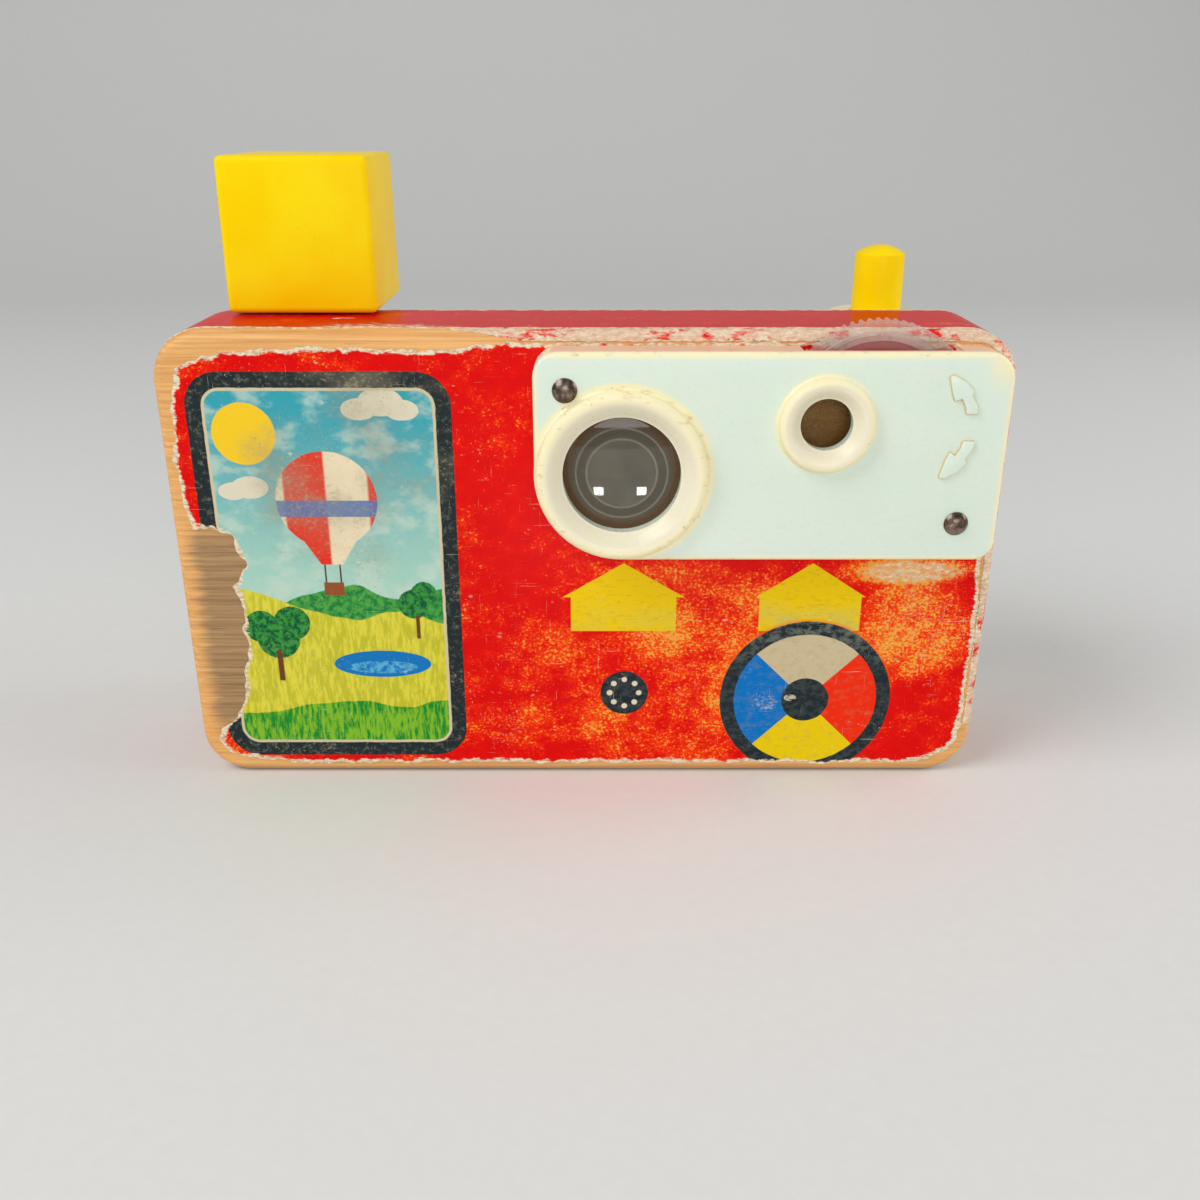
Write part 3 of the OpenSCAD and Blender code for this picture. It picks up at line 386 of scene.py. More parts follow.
front_edge = torn_outline([
    (-77, 92.6), (-80.4, 91), (-81, 87), (-82.4, 82.5), (-82.2, 76), (-83.4, 72.5), (-82.2, 69.5),
    (-82.4, 63), (-81.2, 57.5), (-77.4, 58.2), (-73.2, 56.4), (-73, 53), (-71, 50), (-72.8, 47.3),
    (-74.6, 45), (-72.6, 41.5), (-72.4, 37.5), (-73.5, 35.2), (-72.7, 31), (-74, 25), (-74.3, 20),
    (-77, 14.4), (-80.8, 11), (-81.4, 8.5), (-79.6, 5.8), (-75, 4.0), (-64, 2.6), (-50, 2.4),
    (-35, 2.7), (-10, 2.4), (15, 2.7), (40, 2.4), (60, 2.5), (70, 2.7), (76, 3.4), (79.6, 5.0),
    (82.2, 8.2), (83.1, 12), (83.0, 24), (83.2, 39), (82.9, 50), (83.2, 70), (83.1, 87), (81.9, 92.2),
    (79.0, 95.2), (75, 96.1), (60, 96.0), (47, 96.2), (30, 96.1), (11, 96), (-12, 96.1), (-24, 95.4),
    (-32, 94.6), (-51, 95.2), (-65, 94.6), (-72, 94.2)])
front_sheet = cut_shape("front_sheet", front_edge, -sheet_t, 0)
fringe_w = 1.5
torn_rim(front_sheet, front_edge, fringe_w, -1)
drill(front_sheet, viewer, -overrun, overrun, viewer_bore, 96)
drill(front_sheet, sight, -overrun, overrun, sight_bore)
drill(front_sheet, wheel_at, -overrun, overrun, pin_bore, 32)
mark_torn(front_sheet, front_edge)


def attribute(tree, name):
    node = tree.nodes.new("ShaderNodeAttribute")
    node.attribute_name = name
    return Reading(tree, node.outputs["Fac"])


def new_group(name, inputs, outputs):
    """A shader node group with named sockets; returns its tree, its inputs as readings and its end node."""
    group = bpy.data.node_groups.new(name, "ShaderNodeTree")
    kinds = {"value": "NodeSocketFloat", "colour": "NodeSocketColor", "vector": "NodeSocketVector"}
    for label, kind in inputs.items():
        group.interface.new_socket(name=label, in_out="INPUT", socket_type=kinds[kind])
    for label, kind in outputs.items():
        group.interface.new_socket(name=label, in_out="OUTPUT", socket_type=kinds[kind])
    begin = group.nodes.new("NodeGroupInput")
    end = group.nodes.new("NodeGroupOutput")
    return group, {label: Reading(group, begin.outputs[label]) for label in inputs}, end


def use_group(tree, group, **values):
    """Places a group in a material and returns its outputs as readings."""
    node = tree.nodes.new("ShaderNodeGroup")
    node.node_tree = group
    for key, value in values.items():
        wire(tree, value, node.inputs[key])
    return {out.name: Reading(tree, out) for out in node.outputs}


# Red ink, printed over yellow: where it is rubbed the yellow shows through as orange
red_ink, given, end = new_group("red_ink", {"Place": "vector", "Rub": "value"}, {"Colour": "colour"})
cloud = noise(red_ink, given["Place"], (19, 19, 15), 4, 0.55)
patch = noise(red_ink, given["Place"], (4.2, 4.2, 3.0), 5, 0.62)
grain = noise(red_ink, given["Place"], (0.62, 0.62, 0.5), 3, 0.6)
wear = cloud * 0.85 + patch * 0.6 + given["Rub"]
ink = mix(red_ink, patch.ramp(0.3, 0.7) * 0.6, rgb(222, 2, 2), rgb(240, 14, 3))
ink = mix(red_ink, (wear + grain * 0.55).ramp(0.98, 1.24), ink, rgb(250, 58, 6))
ink = mix(red_ink, (wear + grain * 0.95).ramp(1.32, 1.56) * 0.85, ink, rgb(248, 112, 26))
ink = mix(red_ink, (wear + grain * 1.5).ramp(1.72, 1.92) * 0.85, ink, rgb(246, 178, 72))
wire(red_ink, ink, end.inputs["Colour"])

# Paper wear: specks, scratches and the white torn fringe, down to the fibres of the sheet
paper_wear, given, end = new_group(
    "paper_wear", {"Place": "vector", "Ink": "colour", "Torn": "value", "Scuff": "value"},
    {"Colour": "colour", "Roughness": "value", "Height": "value"})
speck = noise(paper_wear, given["Place"], (0.42, 0.42, 0.5), 3, 0.65)
cloud = noise(paper_wear, given["Place"], (13, 13, 13), 4)
lines = noise(paper_wear, given["Place"], (9, 3, 0.16), 3, 0.6, 0.28)
cross = noise(paper_wear, given["Place"], (0.14, 3, 8), 3, 0.6, 0.2)
gap = noise(paper_wear, given["Place"], (6, 6, 6), 3)
fibre = noise(paper_wear, given["Place"], (1.6, 1.0, 0.7), 4, 0.7)
flecks = (speck + cloud * 0.42 + given["Scuff"] * 0.16).ramp(0.91, 1.01)
scratches = (lines.higher(cross) + gap * 0.2 + given["Scuff"] * 0.14).ramp(0.815, 0.865)
bald = (given["Scuff"] + fibre * 0.8 - 0.72).ramp(0.12, 0.42)
ply = noise(paper_wear, given["Place"], (4.5, 4.5, 4.5), 3)
fringe = (given["Torn"] + (fibre - 0.5) * 1.1 + (ply - 0.5) * 1.9).ramp(0.38, 0.7)
stock = mix(paper_wear, fibre.ramp(0.3, 0.7), rgb(206, 188, 152), rgb(240, 228, 202))
shade = mix(paper_wear, (flecks * 0.75).higher(scratches * 0.8).higher(bald * 0.85), given["Ink"], stock)
frayed = mix(paper_wear, fibre.ramp(0.35, 0.6), rgb(196, 170, 132), rgb(240, 226, 198))
shade = mix(paper_wear, fringe, shade, frayed)
lost = flecks.higher(scratches).higher(fringe).higher(bald)
wire(paper_wear, shade, end.inputs["Colour"])
wire(paper_wear, lost * 0.4 + speck * 0.12 + 0.3, end.inputs["Roughness"])
wire(paper_wear, fibre * 0.3 - lost * 0.7, end.inputs["Height"])


def wear_paper(tree, shader, place, ink, scuff, gloss, rough=1.0, bump=0.5):
    """Finishes a printed sheet: gloss is what is left of its varnish, and rough scales its roughness."""
    worn = use_group(tree, paper_wear, Place=place, Ink=ink, Torn=attribute(tree, "torn"), Scuff=scuff)
    paint(tree, shader, Base_Color=worn["Colour"], Roughness=worn["Roughness"] * rough,
          Specular_IOR_Level=gloss, Normal=relief(tree, worn["Height"], 0.1, bump))


front_print, tree, shader, place = new_finish("front_print")
x, y, z = along(tree, place)
wobble = (noise(tree, place, (2.2, 2.2, 2.2), 2) - 0.5) * 0.3


def span(across, up):
    """The distance that two readings at right angles make."""
    return (across * across + up * up).work("SQRT")


def from_point(px, pz):
    """Distance in mm from a point of the print."""
    return span(x - px, z - pz) + wobble


def blob(px, pz, radius, flat=1.0):
    """1 inside a round or flattened spot."""
    return (span(x - px, (z - pz) * (1 / flat)) + wobble).ramp(radius + 0.12, radius - 0.12)


def below(line, soft=0.14):
    return (z - line + wobble).ramp(soft, -soft)


def between(value, low, high, soft=0.12):
    return value.ramp(low - soft, low + soft) * value.ramp(high + soft, high - soft)


def rubbed_spot(px, pz, narrow, low, edge, core):
    """A soft oval of wear about a point: 0 outside, 1 at its core."""
    across, up = x - px, z - pz
    return (across * across * narrow + up * up * low).ramp(edge, core)


# How hard each part of the sheet has been rubbed
scuffed = rubbed_spot(69, 48.4, 0.0035, 0.06, 1.0, 0.1) * 0.62
scuffed = scuffed.higher(rubbed_spot(72, 36, 0.004, 0.005, 1.1, 0.0) * 0.42)
rubbed = rubbed_spot(27, 38, 0.0012, 0.006, 1.2, 0.0) * 0.2
rubbed = rubbed.higher(rubbed_spot(-4, 14, 0.004, 0.02, 1.2, 0.0) * 0.12)
rubbed = rubbed.higher(rubbed_spot(30, 27, 0.002, 0.004, 1.3, 0.0) * 0.16)
rubbed = rubbed + scuffed * 0.75
bruised = rubbed_spot(39.5, 17.5, 0.05, 0.07, 1.0, 0.1) * 0.5
below_plate = z.ramp(54, 42) * x.ramp(70, 58)
colour = use_group(tree, red_ink, Place=place, Rub=rubbed + below_plate * 0.06 - 0.03)["Colour"]

# The yellow pointers below the two viewers
fade = noise(tree, place, (7, 7, 4), 4)
smudge = noise(tree, place, (1.8, 1.8, 0.7), 5, 0.7)
for middle, eaves, walls_half, tired in ((8.1, 12.95, 11.2, 0.25), (47.8, 11.7, 10.8, 0.75)):
    reach = (x - middle).size()
    roof = (z + reach * (7.7 / eaves) - 50.3 + wobble * 0.4).ramp(0.12, -0.12) * z.ramp(42.5, 42.7)
    walls = between(reach, -1, walls_half) * between(z, 34.8, 42.8)
    pointer = mix(tree, fade.ramp(0.36, 0.62) * z.ramp(44, 36) * tired, rgb(240, 204, 4), rgb(206, 192, 96))
    pointer = mix(tree, smudge.ramp(0.5, 0.72) * 0.45, pointer, rgb(196, 150, 20))
    colour = mix(tree, roof.higher(walls), colour, pointer)

# The four-colour wheel figure: a dark ring and hub with diagonal quarters
figure_at = (48.1, 18.3)
figure = from_point(*figure_at)
mottle = noise(tree, place, (2.2, 2.2, 1.6), 5, 0.68)
bleached = mottle.ramp(0.42, 0.62) * (z.ramp(24, 36) * 0.5 + 0.16)
dark_ink = mix(tree, bleached, rgb(32, 43, 49), rgb(124, 134, 122))
figure_x, figure_z = x - figure_at[0], z - figure_at[1]
upright_side = (figure_x.size() - figure_z.size()).ramp(0.1, -0.1)
quarter = mix(tree, figure_x.ramp(-0.1, 0.1), rgb(0, 116, 196), rgb(244, 44, 8))
upper_lower = mix(tree, figure_z.ramp(-0.1, 0.1), rgb(238, 206, 0), rgb(206, 190, 152))
quarter = mix(tree, upright_side, quarter, upper_lower)
colour = mix(tree, figure.ramp(19.6, 18.9) * z.ramp(18, 30) * 0.55, colour, rgb(250, 110, 30))
colour = mix(tree, figure.ramp(18.8, 18.6), colour, dark_ink)
quarter = mix(tree, mottle.ramp(0.46, 0.7) * 0.26, quarter, rgb(150, 136, 96))
colour = mix(tree, figure.ramp(15.7, 15.5), colour, quarter)
colour = mix(tree, figure.ramp(5.3, 5.1), colour, dark_ink)
hub_chip = blob(44.8, 18.8, 1.3, 0.6) * mottle.ramp(0.4, 0.5)
colour = mix(tree, hub_chip * 0.85, colour, rgb(206, 200, 178))

# The counter spot: a dark disc with a ring of eight dots, one for each picture
counter_at, dot_ring_r, dot_r = (8.4, 20), 3.2, 0.62
colour = mix(tree, from_point(*counter_at).ramp(5.3, 5.1), colour, dark_ink)
for k in range(8):
    turn = k * math.pi / 4
    dot_x = counter_at[0] + dot_ring_r * math.cos(turn)
    dot_z = counter_at[1] + dot_ring_r * math.sin(turn)
    colour = mix(tree, blob(dot_x, dot_z, dot_r), colour, rgb(226, 216, 190))

# The picture: a framed landscape with a balloon over hills and a pond
leaf = noise(tree, place, (1.3, 1.3, 1.3), 5, 0.65)
grass = noise(tree, place, (0.7, 0.7, 3.2), 4, 0.6)
rise = noise(tree, place, (26, 26, 400), 2)
picture_at, straight_w, straight_h = (-53, 47.5), 19.5, 36
aside = x - picture_at[0]
half_x, half_z = aside.size(), (z - picture_at[1]).size()
past_x, past_z = half_x - straight_w, half_z - straight_h
frame_edge = span(past_x.higher(0.0), past_z.higher(0.0)) + past_x.higher(past_z).lower(0.0)
frame_edge = frame_edge + wobble
landscape = mix(tree, (z + leaf * 9).ramp(44, 92), rgb(172, 214, 196), rgb(54, 164, 178))
landscape = mix(tree, noise(tree, place, (6, 6, 4), 4).ramp(0.45, 0.68) * 0.6, landscape, rgb(206, 222, 204))
landscape = mix(tree, blob(-68.5, 78, 6.4), landscape, rgb(250, 206, 40))
clouds = ((-45, 83, 3.6), (-40.6, 84.4, 4.6), (-36.4, 82.8, 3.4), (-72, 66, 3.0), (-68.4, 66.8, 3.8))
for px, pz, radius in clouds:
    landscape = mix(tree, blob(px, pz, radius, 0.62), landscape, rgb(226, 218, 192))
far_hill = rise * 22 + (x + 40) * 0.12 + 34
woods = mix(tree, leaf.ramp(0.4, 0.6), rgb(28, 128, 62), rgb(86, 168, 72))
landscape = mix(tree, below(far_hill), landscape, woods)
near_hill = rise * -18 - (x + 40) * 0.16 + 46
corn = mix(tree, grass.ramp(0.4, 0.62), rgb(196, 192, 50), rgb(226, 216, 70))
landscape = mix(tree, below(near_hill), landscape, corn)
landscape = mix(tree, blob(-44, 27, 10.5, 0.3), landscape, rgb(20, 120, 190))
landscape = mix(tree, blob(-44, 26.2, 7.5, 0.2) * leaf.ramp(0.4, 0.6), landscape, rgb(96, 178, 214))
meadow = rise * 12 + (x + 60) * 0.05 + 11
turf = mix(tree, grass.ramp(0.38, 0.6), rgb(24, 140, 46), rgb(132, 190, 44))
landscape = mix(tree, below(meadow), landscape, turf)
crowns = ((-66, 33, 4.6), (-62.8, 36.6, 3.9), (-69.4, 35.8, 3.7), (-36.5, 41, 3.3), (-34.2, 43.4, 2.7))
foliage = mix(tree, leaf.ramp(0.42, 0.58), rgb(14, 92, 52), rgb(60, 150, 62))
for px, pz, radius in crowns:
    landscape = mix(tree, blob(px, pz, radius), landscape, foliage)
for left, right, low, high in ((-66.7, -65.5, 23, 30.5), (-36.2, -35.4, 33, 38.4)):
    trunk = between(x, left, right) * between(z, low, high)
    landscape = mix(tree, trunk, landscape, rgb(110, 66, 38))
stripe = (aside * (1 / 2.75)).work("SINE")
canopy = mix(tree, stripe.ramp(-0.12, 0.12), rgb(232, 50, 28), rgb(244, 226, 190))
canopy = mix(tree, between(z, 60.5, 64) * 0.9, canopy, rgb(30, 112, 190))
balloon = blob(-53, 64, 10.4).higher(between(half_x - (z - 49) * 0.62, -20, 1.6) * between(z, 50, 58.5))
landscape = mix(tree, balloon, landscape, canopy)
landscape = mix(tree, between(half_x, 1.4, 1.75) * between(z, 45.6, 50), landscape, rgb(70, 46, 34))
landscape = mix(tree, between(half_x, -1, 2.1) * between(z, 43, 46), landscape, rgb(150, 84, 42))
charcoal = mix(tree, leaf.ramp(0.5, 0.7) * 0.55, rgb(36, 46, 48), rgb(128, 132, 116))
colour = mix(tree, frame_edge.ramp(7.1, 6.9), colour, charcoal)
colour = mix(tree, frame_edge.ramp(3.9, 3.7), colour, rgb(214, 200, 164))
colour = mix(tree, frame_edge.ramp(3.3, 3.1), colour, landscape)
aged = noise(tree, place, (30, 30, 24), 4)
grit = noise(tree, place, (0.8, 0.8, 0.6), 4, 0.65)
framed = frame_edge.ramp(7.4, 6.4)
colour = mix(tree, aged.ramp(0.52, 0.74) * framed * z.ramp(40, 66) * 0.5, colour, rgb(150, 142, 118))
colour = mix(tree, (aged * 0.6 + grit * 0.7).ramp(0.74, 0.86) * framed * 0.5, colour, rgb(176, 162, 128))
wear_paper(tree, shader, place, colour, scuffed.higher(bruised), gloss=0.09)
coat(front_sheet, front_print)
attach(front_sheet, "camera")
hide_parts("front_litho")

# Edge paper: one band over the top and down both sides, torn along both of its long edges.
# It is the same red sheet, dull from handling, and its red is mixed a little darker as painted shade.
bend_x, bend_z = block_w / 2 - corner_r, block_h - corner_r
side_run, side_steps, top_steps, bend_steps = bend_z - corner_r, 40, 90, 12
bend_turns = [a * math.pi / (2 * bend_steps) for a in range(1, bend_steps)]
band_path = [(-block_w / 2, corner_r + side_run * k / side_steps) for k in range(side_steps + 1)]
band_path += [(-bend_x - corner_r * math.cos(a), bend_z + corner_r * math.sin(a)) for a in bend_turns]
band_path += [(-bend_x + 2 * bend_x * k / top_steps, block_h) for k in range(top_steps + 1)]
band_path += [(bend_x + corner_r * math.sin(a), bend_z + corner_r * math.cos(a)) for a in bend_turns]
band_path += [(block_w / 2, bend_z - side_run * k / side_steps) for k in range(side_steps + 1)]
rows = (0.0, 0.05, 0.95, 1.0)
clear()
bpy.ops.mesh.primitive_grid_add(x_subdivisions=len(band_path) - 1, y_subdivisions=len(rows) - 1, size=1)
edge_band = bpy.context.active_object
tear = [[chance.uniform(-0.28, 0.28) for k in band_path] for side in range(2)]
torn = edge_band.data.attributes.new("torn", "FLOAT", "POINT")
for vertex in edge_band.data.vertices:
    step, row = vertex.index % len(band_path), vertex.index // len(band_path)
    px, pz = band_path[step]
    wide = 1.0 if px < -24 or pz < 90 else 0.0
    first = 2.7 + 1.2 * wide * (0.6 + 0.4 * math.sin(px * 0.21 + pz * 0.17)) + tear[0][step]
    last = 25.8 + tear[1][step]
    vertex.co = at_depth(px, first + (last - first) * rows[row], pz)
    torn.data[vertex.index].value = 1.0 if row in (0, len(rows) - 1) else 0.0
settle(edge_band, "edge_band")


def face_out(piece, points_in):
    """Makes an open sheet's normals agree, and turns them round where the test says that they point in."""
    pick(piece, "FACE", lambda centre, normal: True)
    bpy.ops.mesh.normals_make_consistent(inside=False)
    done()
    if points_in(piece.data.polygons):
        pick(piece, "FACE", lambda centre, normal: True)
        bpy.ops.mesh.flip_normals()
        done()


face_out(edge_band, lambda faces: faces[len(faces) // 2].normal.z < 0)
apply_modifier(edge_band, "SOLIDIFY", thickness=sheet_t * MM, offset=1.0)
smooth(edge_band, 40)

band_print, tree, shader, place = new_finish("band_print")
x, y, z = along(tree, place)
cloud = noise(tree, place, (20, 8, 20), 4)
rub = cloud.ramp(0.5, 0.75) * 0.3 + y.ramp(-17.5, -20) * 0.3
colour = use_group(tree, red_ink, Place=place, Rub=rub - 0.12)["Colour"]
# Painted shade: the band's red is mixed a little darker all over
colour = mix(tree, 0.28, colour, rgb(150, 10, 12))
below_cube = x.ramp(-62, -48) * x.ramp(-18, -34) * y.ramp(-8, -17)
wear_paper(tree, shader, place, colour, rub * 0.7 + below_cube * 0.6, gloss=0.04, rough=0.8, bump=0.4)
coat(edge_band, band_print)
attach(edge_band, "camera")
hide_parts("edge_litho")

# Paper fold: right of the middle the band runs on over the block's rounded front edge to meet the sheet.
# It takes every knock there, so it is rubbed to orange and to white along its whole length.
fold_left, fold_drop, fold_t = -26, 76, 0.22
fold_path = [(fold_left + (bend_x - fold_left) * k / 120, block_h, 0.0, 1.0) for k in range(121)]
for a in range(1, 16):
    turn = a * math.pi / 32
    fold_path.append((bend_x + corner_r * math.sin(turn), bend_z + corner_r * math.cos(turn),
                      math.sin(turn), math.cos(turn)))
fold_path += [(block_w / 2, bend_z - fold_drop * k / 90, 1.0, 0.0) for k in range(91)]
fold_steps = 8
clear()
bpy.ops.mesh.primitive_grid_add(x_subdivisions=len(fold_path) - 1, y_subdivisions=fold_steps, size=1)
edge_fold = bpy.context.active_object
torn = edge_fold.data.attributes.new("torn", "FLOAT", "POINT")
ragged_fold = [chance.uniform(0.0, 0.3) for k in fold_path]
for vertex in edge_fold.data.vertices:
    step, row = vertex.index % len(fold_path), vertex.index // len(fold_path)
    px, pz, nx, nz = fold_path[step]
    start = max(0.0, 1.0 - step / 16) * 1.3 + ragged_fold[step] * 0.4
    turn = start + (math.pi / 2 - start) * (row / fold_steps)
    inward = edge_round - edge_round * math.sin(turn)
    vertex.co = at_depth(px - nx * inward, edge_round - edge_round * math.cos(turn), pz - nz * inward)
    torn.data[vertex.index].value = 0.8 if row in (0, fold_steps) or step in (0, len(fold_path) - 1) else 0.25
settle(edge_fold, "edge_fold")
face_out(edge_fold, lambda faces: faces[len(fold_path) * 4].normal.y > 0)
apply_modifier(edge_fold, "SOLIDIFY", thickness=fold_t * MM, offset=1.0)
smooth(edge_fold, 50)
fold_print, tree, shader, place = new_finish("fold_print")
knock = noise(tree, place, (7, 3, 5), 4)
colour = use_group(tree, red_ink, Place=place, Rub=knock.ramp(0.35, 0.7) * 0.2 - 0.1)["Colour"]
wear_paper(tree, shader, place, colour, knock.ramp(0.28, 0.62) * 0.6 + 0.4, gloss=0.16)
coat(edge_fold, fold_print)
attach(edge_fold, "camera")

# Back paper: the sheet on the block's back, which shows only as a margin round the cover.
# It has the same holes as the wood behind it.
back_edge = torn_outline([
    (-74, 95.2), (-80, 92.4), (-82.4, 86), (-82.6, 60), (-82.2, 30), (-82.6, 12), (-80, 6), (-73, 3),
    (-30, 2.8), (20, 3.2), (73, 3), (80, 6), (82.6, 12), (82.4, 45), (82.6, 86), (80, 92.6), (74, 95.4),
    (30, 95.6), (-30, 95.2)])
back_sheet = cut_shape("back_sheet", back_edge, block_d, block_d + sheet_t)
torn_rim(back_sheet, back_edge, fringe_w, 1)
for hole_at, radius, sides in ((viewer, viewer_bore, 96), (sight, sight_bore, 64), (disc_at, pin_bore, 32),
                               (clutch_at, clutch_r, 96)):
    drill(back_sheet, hole_at, block_d - overrun, block_d + overrun, radius, sides)
mark_torn(back_sheet, back_edge)
back_print, tree, shader, place = new_finish("back_print")
cloud = noise(tree, place, (18, 18, 18), 4)
colour = use_group(tree, red_ink, Place=place, Rub=cloud.ramp(0.5, 0.7) * 0.2 - 0.06)["Colour"]
wear_paper(tree, shader, place, colour, cloud.ramp(0.55, 0.8) * 0.4, gloss=0.5)
coat(back_sheet, back_print)
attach(back_sheet, "camera")
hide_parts("back_litho")

# Picture lens: a clear moulded lens, domed on both faces, that sits in a seat behind the large ring.
# The card tube behind it presses it home and lines the bore.
face_d = -7.5
inner_d = -5.6


def turned(name, profile, centre, axis, steps=96):
    """Spins a closed profile of (radius, height) in mm about an axis through centre.

    The axis runs F to the front, B to the back or U up."""
    clear()
    bpy.ops.mesh.primitive_circle_add(vertices=len(profile), radius=MM, fill_type="NOTHING")
    piece = bpy.context.active_object
    lead = {"F": (0, -1, 0), "B": (0, 1, 0), "U": (0, 0, 1)}[axis]
    base = at_depth(*centre)
    for vertex, (radius, height) in zip(piece.data.vertices, profile):
        vertex.co = [base[i] + (radius * MM if i == 0 else 0.0) + lead[i] * height * MM for i in range(3)]
    pick(piece, "VERT", lambda point: True)
    bpy.ops.mesh.spin(steps=steps, angle=2 * math.pi, center=base, axis=lead)
    bpy.ops.mesh.select_all(action="SELECT")
    bpy.ops.mesh.remove_doubles(threshold=0.02 * MM)
    bpy.ops.mesh.normals_make_consistent(inside=False)
    done()
    return settle(piece, name)


def dome(radius, rise, base, steps=14):
    """Points from the rim of a shallow dome to its top."""
    ball = (radius ** 2 + rise ** 2) / (2 * rise)
    sweep = math.asin(radius / ball)
    turns = [sweep * (1 - k / steps) for k in range(steps + 1)]
    return [(ball * math.sin(turn), base + rise - ball + ball * math.cos(turn)) for turn in turns]


lens_profile = [(12.6, -1.5), (12.6, 0.0)] + dome(11.6, 1.2, 0.0)
lens_profile += [(r, -1.5 - h) for r, h in reversed(dome(9.7, 1.6, 0.0))]
viewer_lens = turned("viewer_lens", lens_profile, (viewer[0], inner_d, viewer[1]), "F")
smooth(viewer_lens, 30)

lens_moulding, tree, shader, place = new_finish("lens_moulding")
x, y, z = along(tree, place)
reach = span(x - viewer[0], z - viewer[1])
dust = noise(tree, place, (0.5, 0.5, 0.5), 3, 0.6)
backlight_mottle = noise(tree, place, (5, 5, 5), 3)
# Painted light and shade: the lens is coloured with what shows through it, a grey centre for the lit
# picture behind, a darker band past 7 mm and brown towards the rim for the card tube
tone = mix(tree, backlight_mottle.ramp(0.35, 0.7), rgb(138, 131, 114), rgb(154, 147, 128))
tone = mix(tree, reach.ramp(6.8, 7.2), tone, rgb(128, 118, 100))
tone = mix(tree, reach.ramp(9.2, 10.8), tone, rgb(136, 98, 60))
# Painted light: pale circles where the edges of the bore show through the lens
painted_bore_rings = (reach - 7.0).size().ramp(0.34, 0.12).higher((reach - 9.1).size().ramp(0.3, 0.1))
tone = mix(tree, painted_bore_rings * 0.7, tone, rgb(198, 190, 170))
tone = mix(tree, dust.ramp(0.68, 0.78) * 0.5, tone, rgb(206, 200, 184))
paint(tree, shader, Base_Color=tone, Roughness=dust.ramp(0.66, 0.8) * 0.03 + 0.03,
      Transmission_Weight=0.62, IOR=1.49)
coat(viewer_lens, lens_moulding)
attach(viewer_lens, "camera")
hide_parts("picture_lens")

card_profile = [(9.7, block_d), (9.7, -4.08), (12.5, -4.08), (12.6, -3.98), (12.6, -0.4), (12.5, -0.28),
                (10.5, -0.28), (10.5, block_d)]
card_tube = turned("card_tube", card_profile, (viewer[0], 0, viewer[1]), "B")
smooth(card_tube, 40)
brown_card, tree, shader, place = new_finish("brown_card")
fibre = noise(tree, place, (4, 0.6, 4), 4)
paint(tree, shader, Base_Color=mix(tree, fibre.ramp(0.35, 0.65), rgb(74, 48, 26), rgb(112, 76, 42)),
      Roughness=0.75, Normal=relief(tree, fibre, 0.1, 0.4))
coat(card_tube, brown_card)
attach(card_tube, "camera")
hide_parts("light_tube")

# Front plate: a shallow moulded shell with a ring round each viewer, nailed over the wheel and the lens.
# Its top wall is cut away for the wheel, and its rims have gone yellow.
plate_left, plate_right, plate_bottom, plate_top = -9.9, 82.6, 53.6, 95.6
plate_corners, plate_wall, plate_edge = (17.3, 4, 5.5, 5), 1.9, 0.8
ring_bore, small_ring_bore, ring_root = 11.7, 5.1, 1.9
slot_half, arrow_proud = 15.3, 0.75


def rounded(left, low, right, high, radii, steps=10):
    """A rectangle's outline with a radius for each corner, from the lower left round by the lower right."""
    points = []
    corners = ((left, low, 180), (right, low, 270), (right, high, 0), (left, high, 90))
    for (px, pz, start), radius in zip(corners, radii):
        cx = px + radius if px == left else px - radius
        cz = pz + radius if pz == low else pz - radius
        for k in range(steps + 1):
            turn = math.radians(start + 90 * k / steps)
            points.append((cx + radius * math.cos(turn), cz + radius * math.sin(turn)))
    return points


plate_outline = rounded(plate_left, plate_bottom, plate_right, plate_top, plate_corners, 14)
plate = cut_shape("moulded_plate", plate_outline, face_d, -sheet_t)


def hollow(piece, is_open, wall, sink):
    """Sinks a hollow into the side whose normal passes the test, and leaves a wall round it."""
    pick(piece, "FACE", lambda centre, normal: is_open(normal))
    bpy.ops.mesh.inset(thickness=wall * MM, depth=0)
    bpy.ops.mesh.extrude_region_move(TRANSFORM_OT_translate={"value": tuple(step * MM for step in sink)})
    done()


def soften(piece, y, radius, segments):
    """Rounds the edges that lie in the plane at y."""
    pick(piece, "EDGE", lambda a, b: abs(a.y - y) < 0.05 and abs(b.y - y) < 0.05)
    bpy.ops.mesh.bevel(offset=radius * MM, segments=segments, affect="EDGES")
    done()


hollow(plate, lambda normal: normal.y > 0.9, plate_wall, (0, inner_d + sheet_t, 0))
face_y = WOOD_FRONT + face_d
soften(plate, face_y, plate_edge, 4)


def close_up(piece):
    """Welds what cutting left open."""
    pick(piece, "VERT", lambda point: True)
    bpy.ops.mesh.remove_doubles(threshold=0.004 * MM)
    bpy.ops.mesh.select_all(action="SELECT")
    bpy.ops.mesh.fill_holes(sides=0)
    bpy.ops.mesh.select_all(action="SELECT")
    bpy.ops.mesh.normals_make_consistent(inside=False)
    done()


def ring_outline(hole, outer, proud, rim, land):
    """Half the section of a viewer's ring: a round rim and a dish that runs past the hole.

    The hole itself is drilled later."""
    arc = [(outer - rim + rim * math.cos(math.radians(a)), proud - rim + rim * math.sin(math.radians(a)))
           for a in range(0, 91, 15)]
    dish = []
    for k in range(1, 9):
        share = k / 8
        dish.append((outer - rim - 0.6 + (hole + 0.3 - outer + rim + 0.6) * share,
                     proud - (proud - land) * (share ** 1.25)))
    foot = [(hole - 0.8, -ring_root), (outer + 0.35, -ring_root), (outer + 0.35, 0.0), (outer, 0.35)]
    return foot + arc + dish + [(hole - 0.8, land - 0.4)]


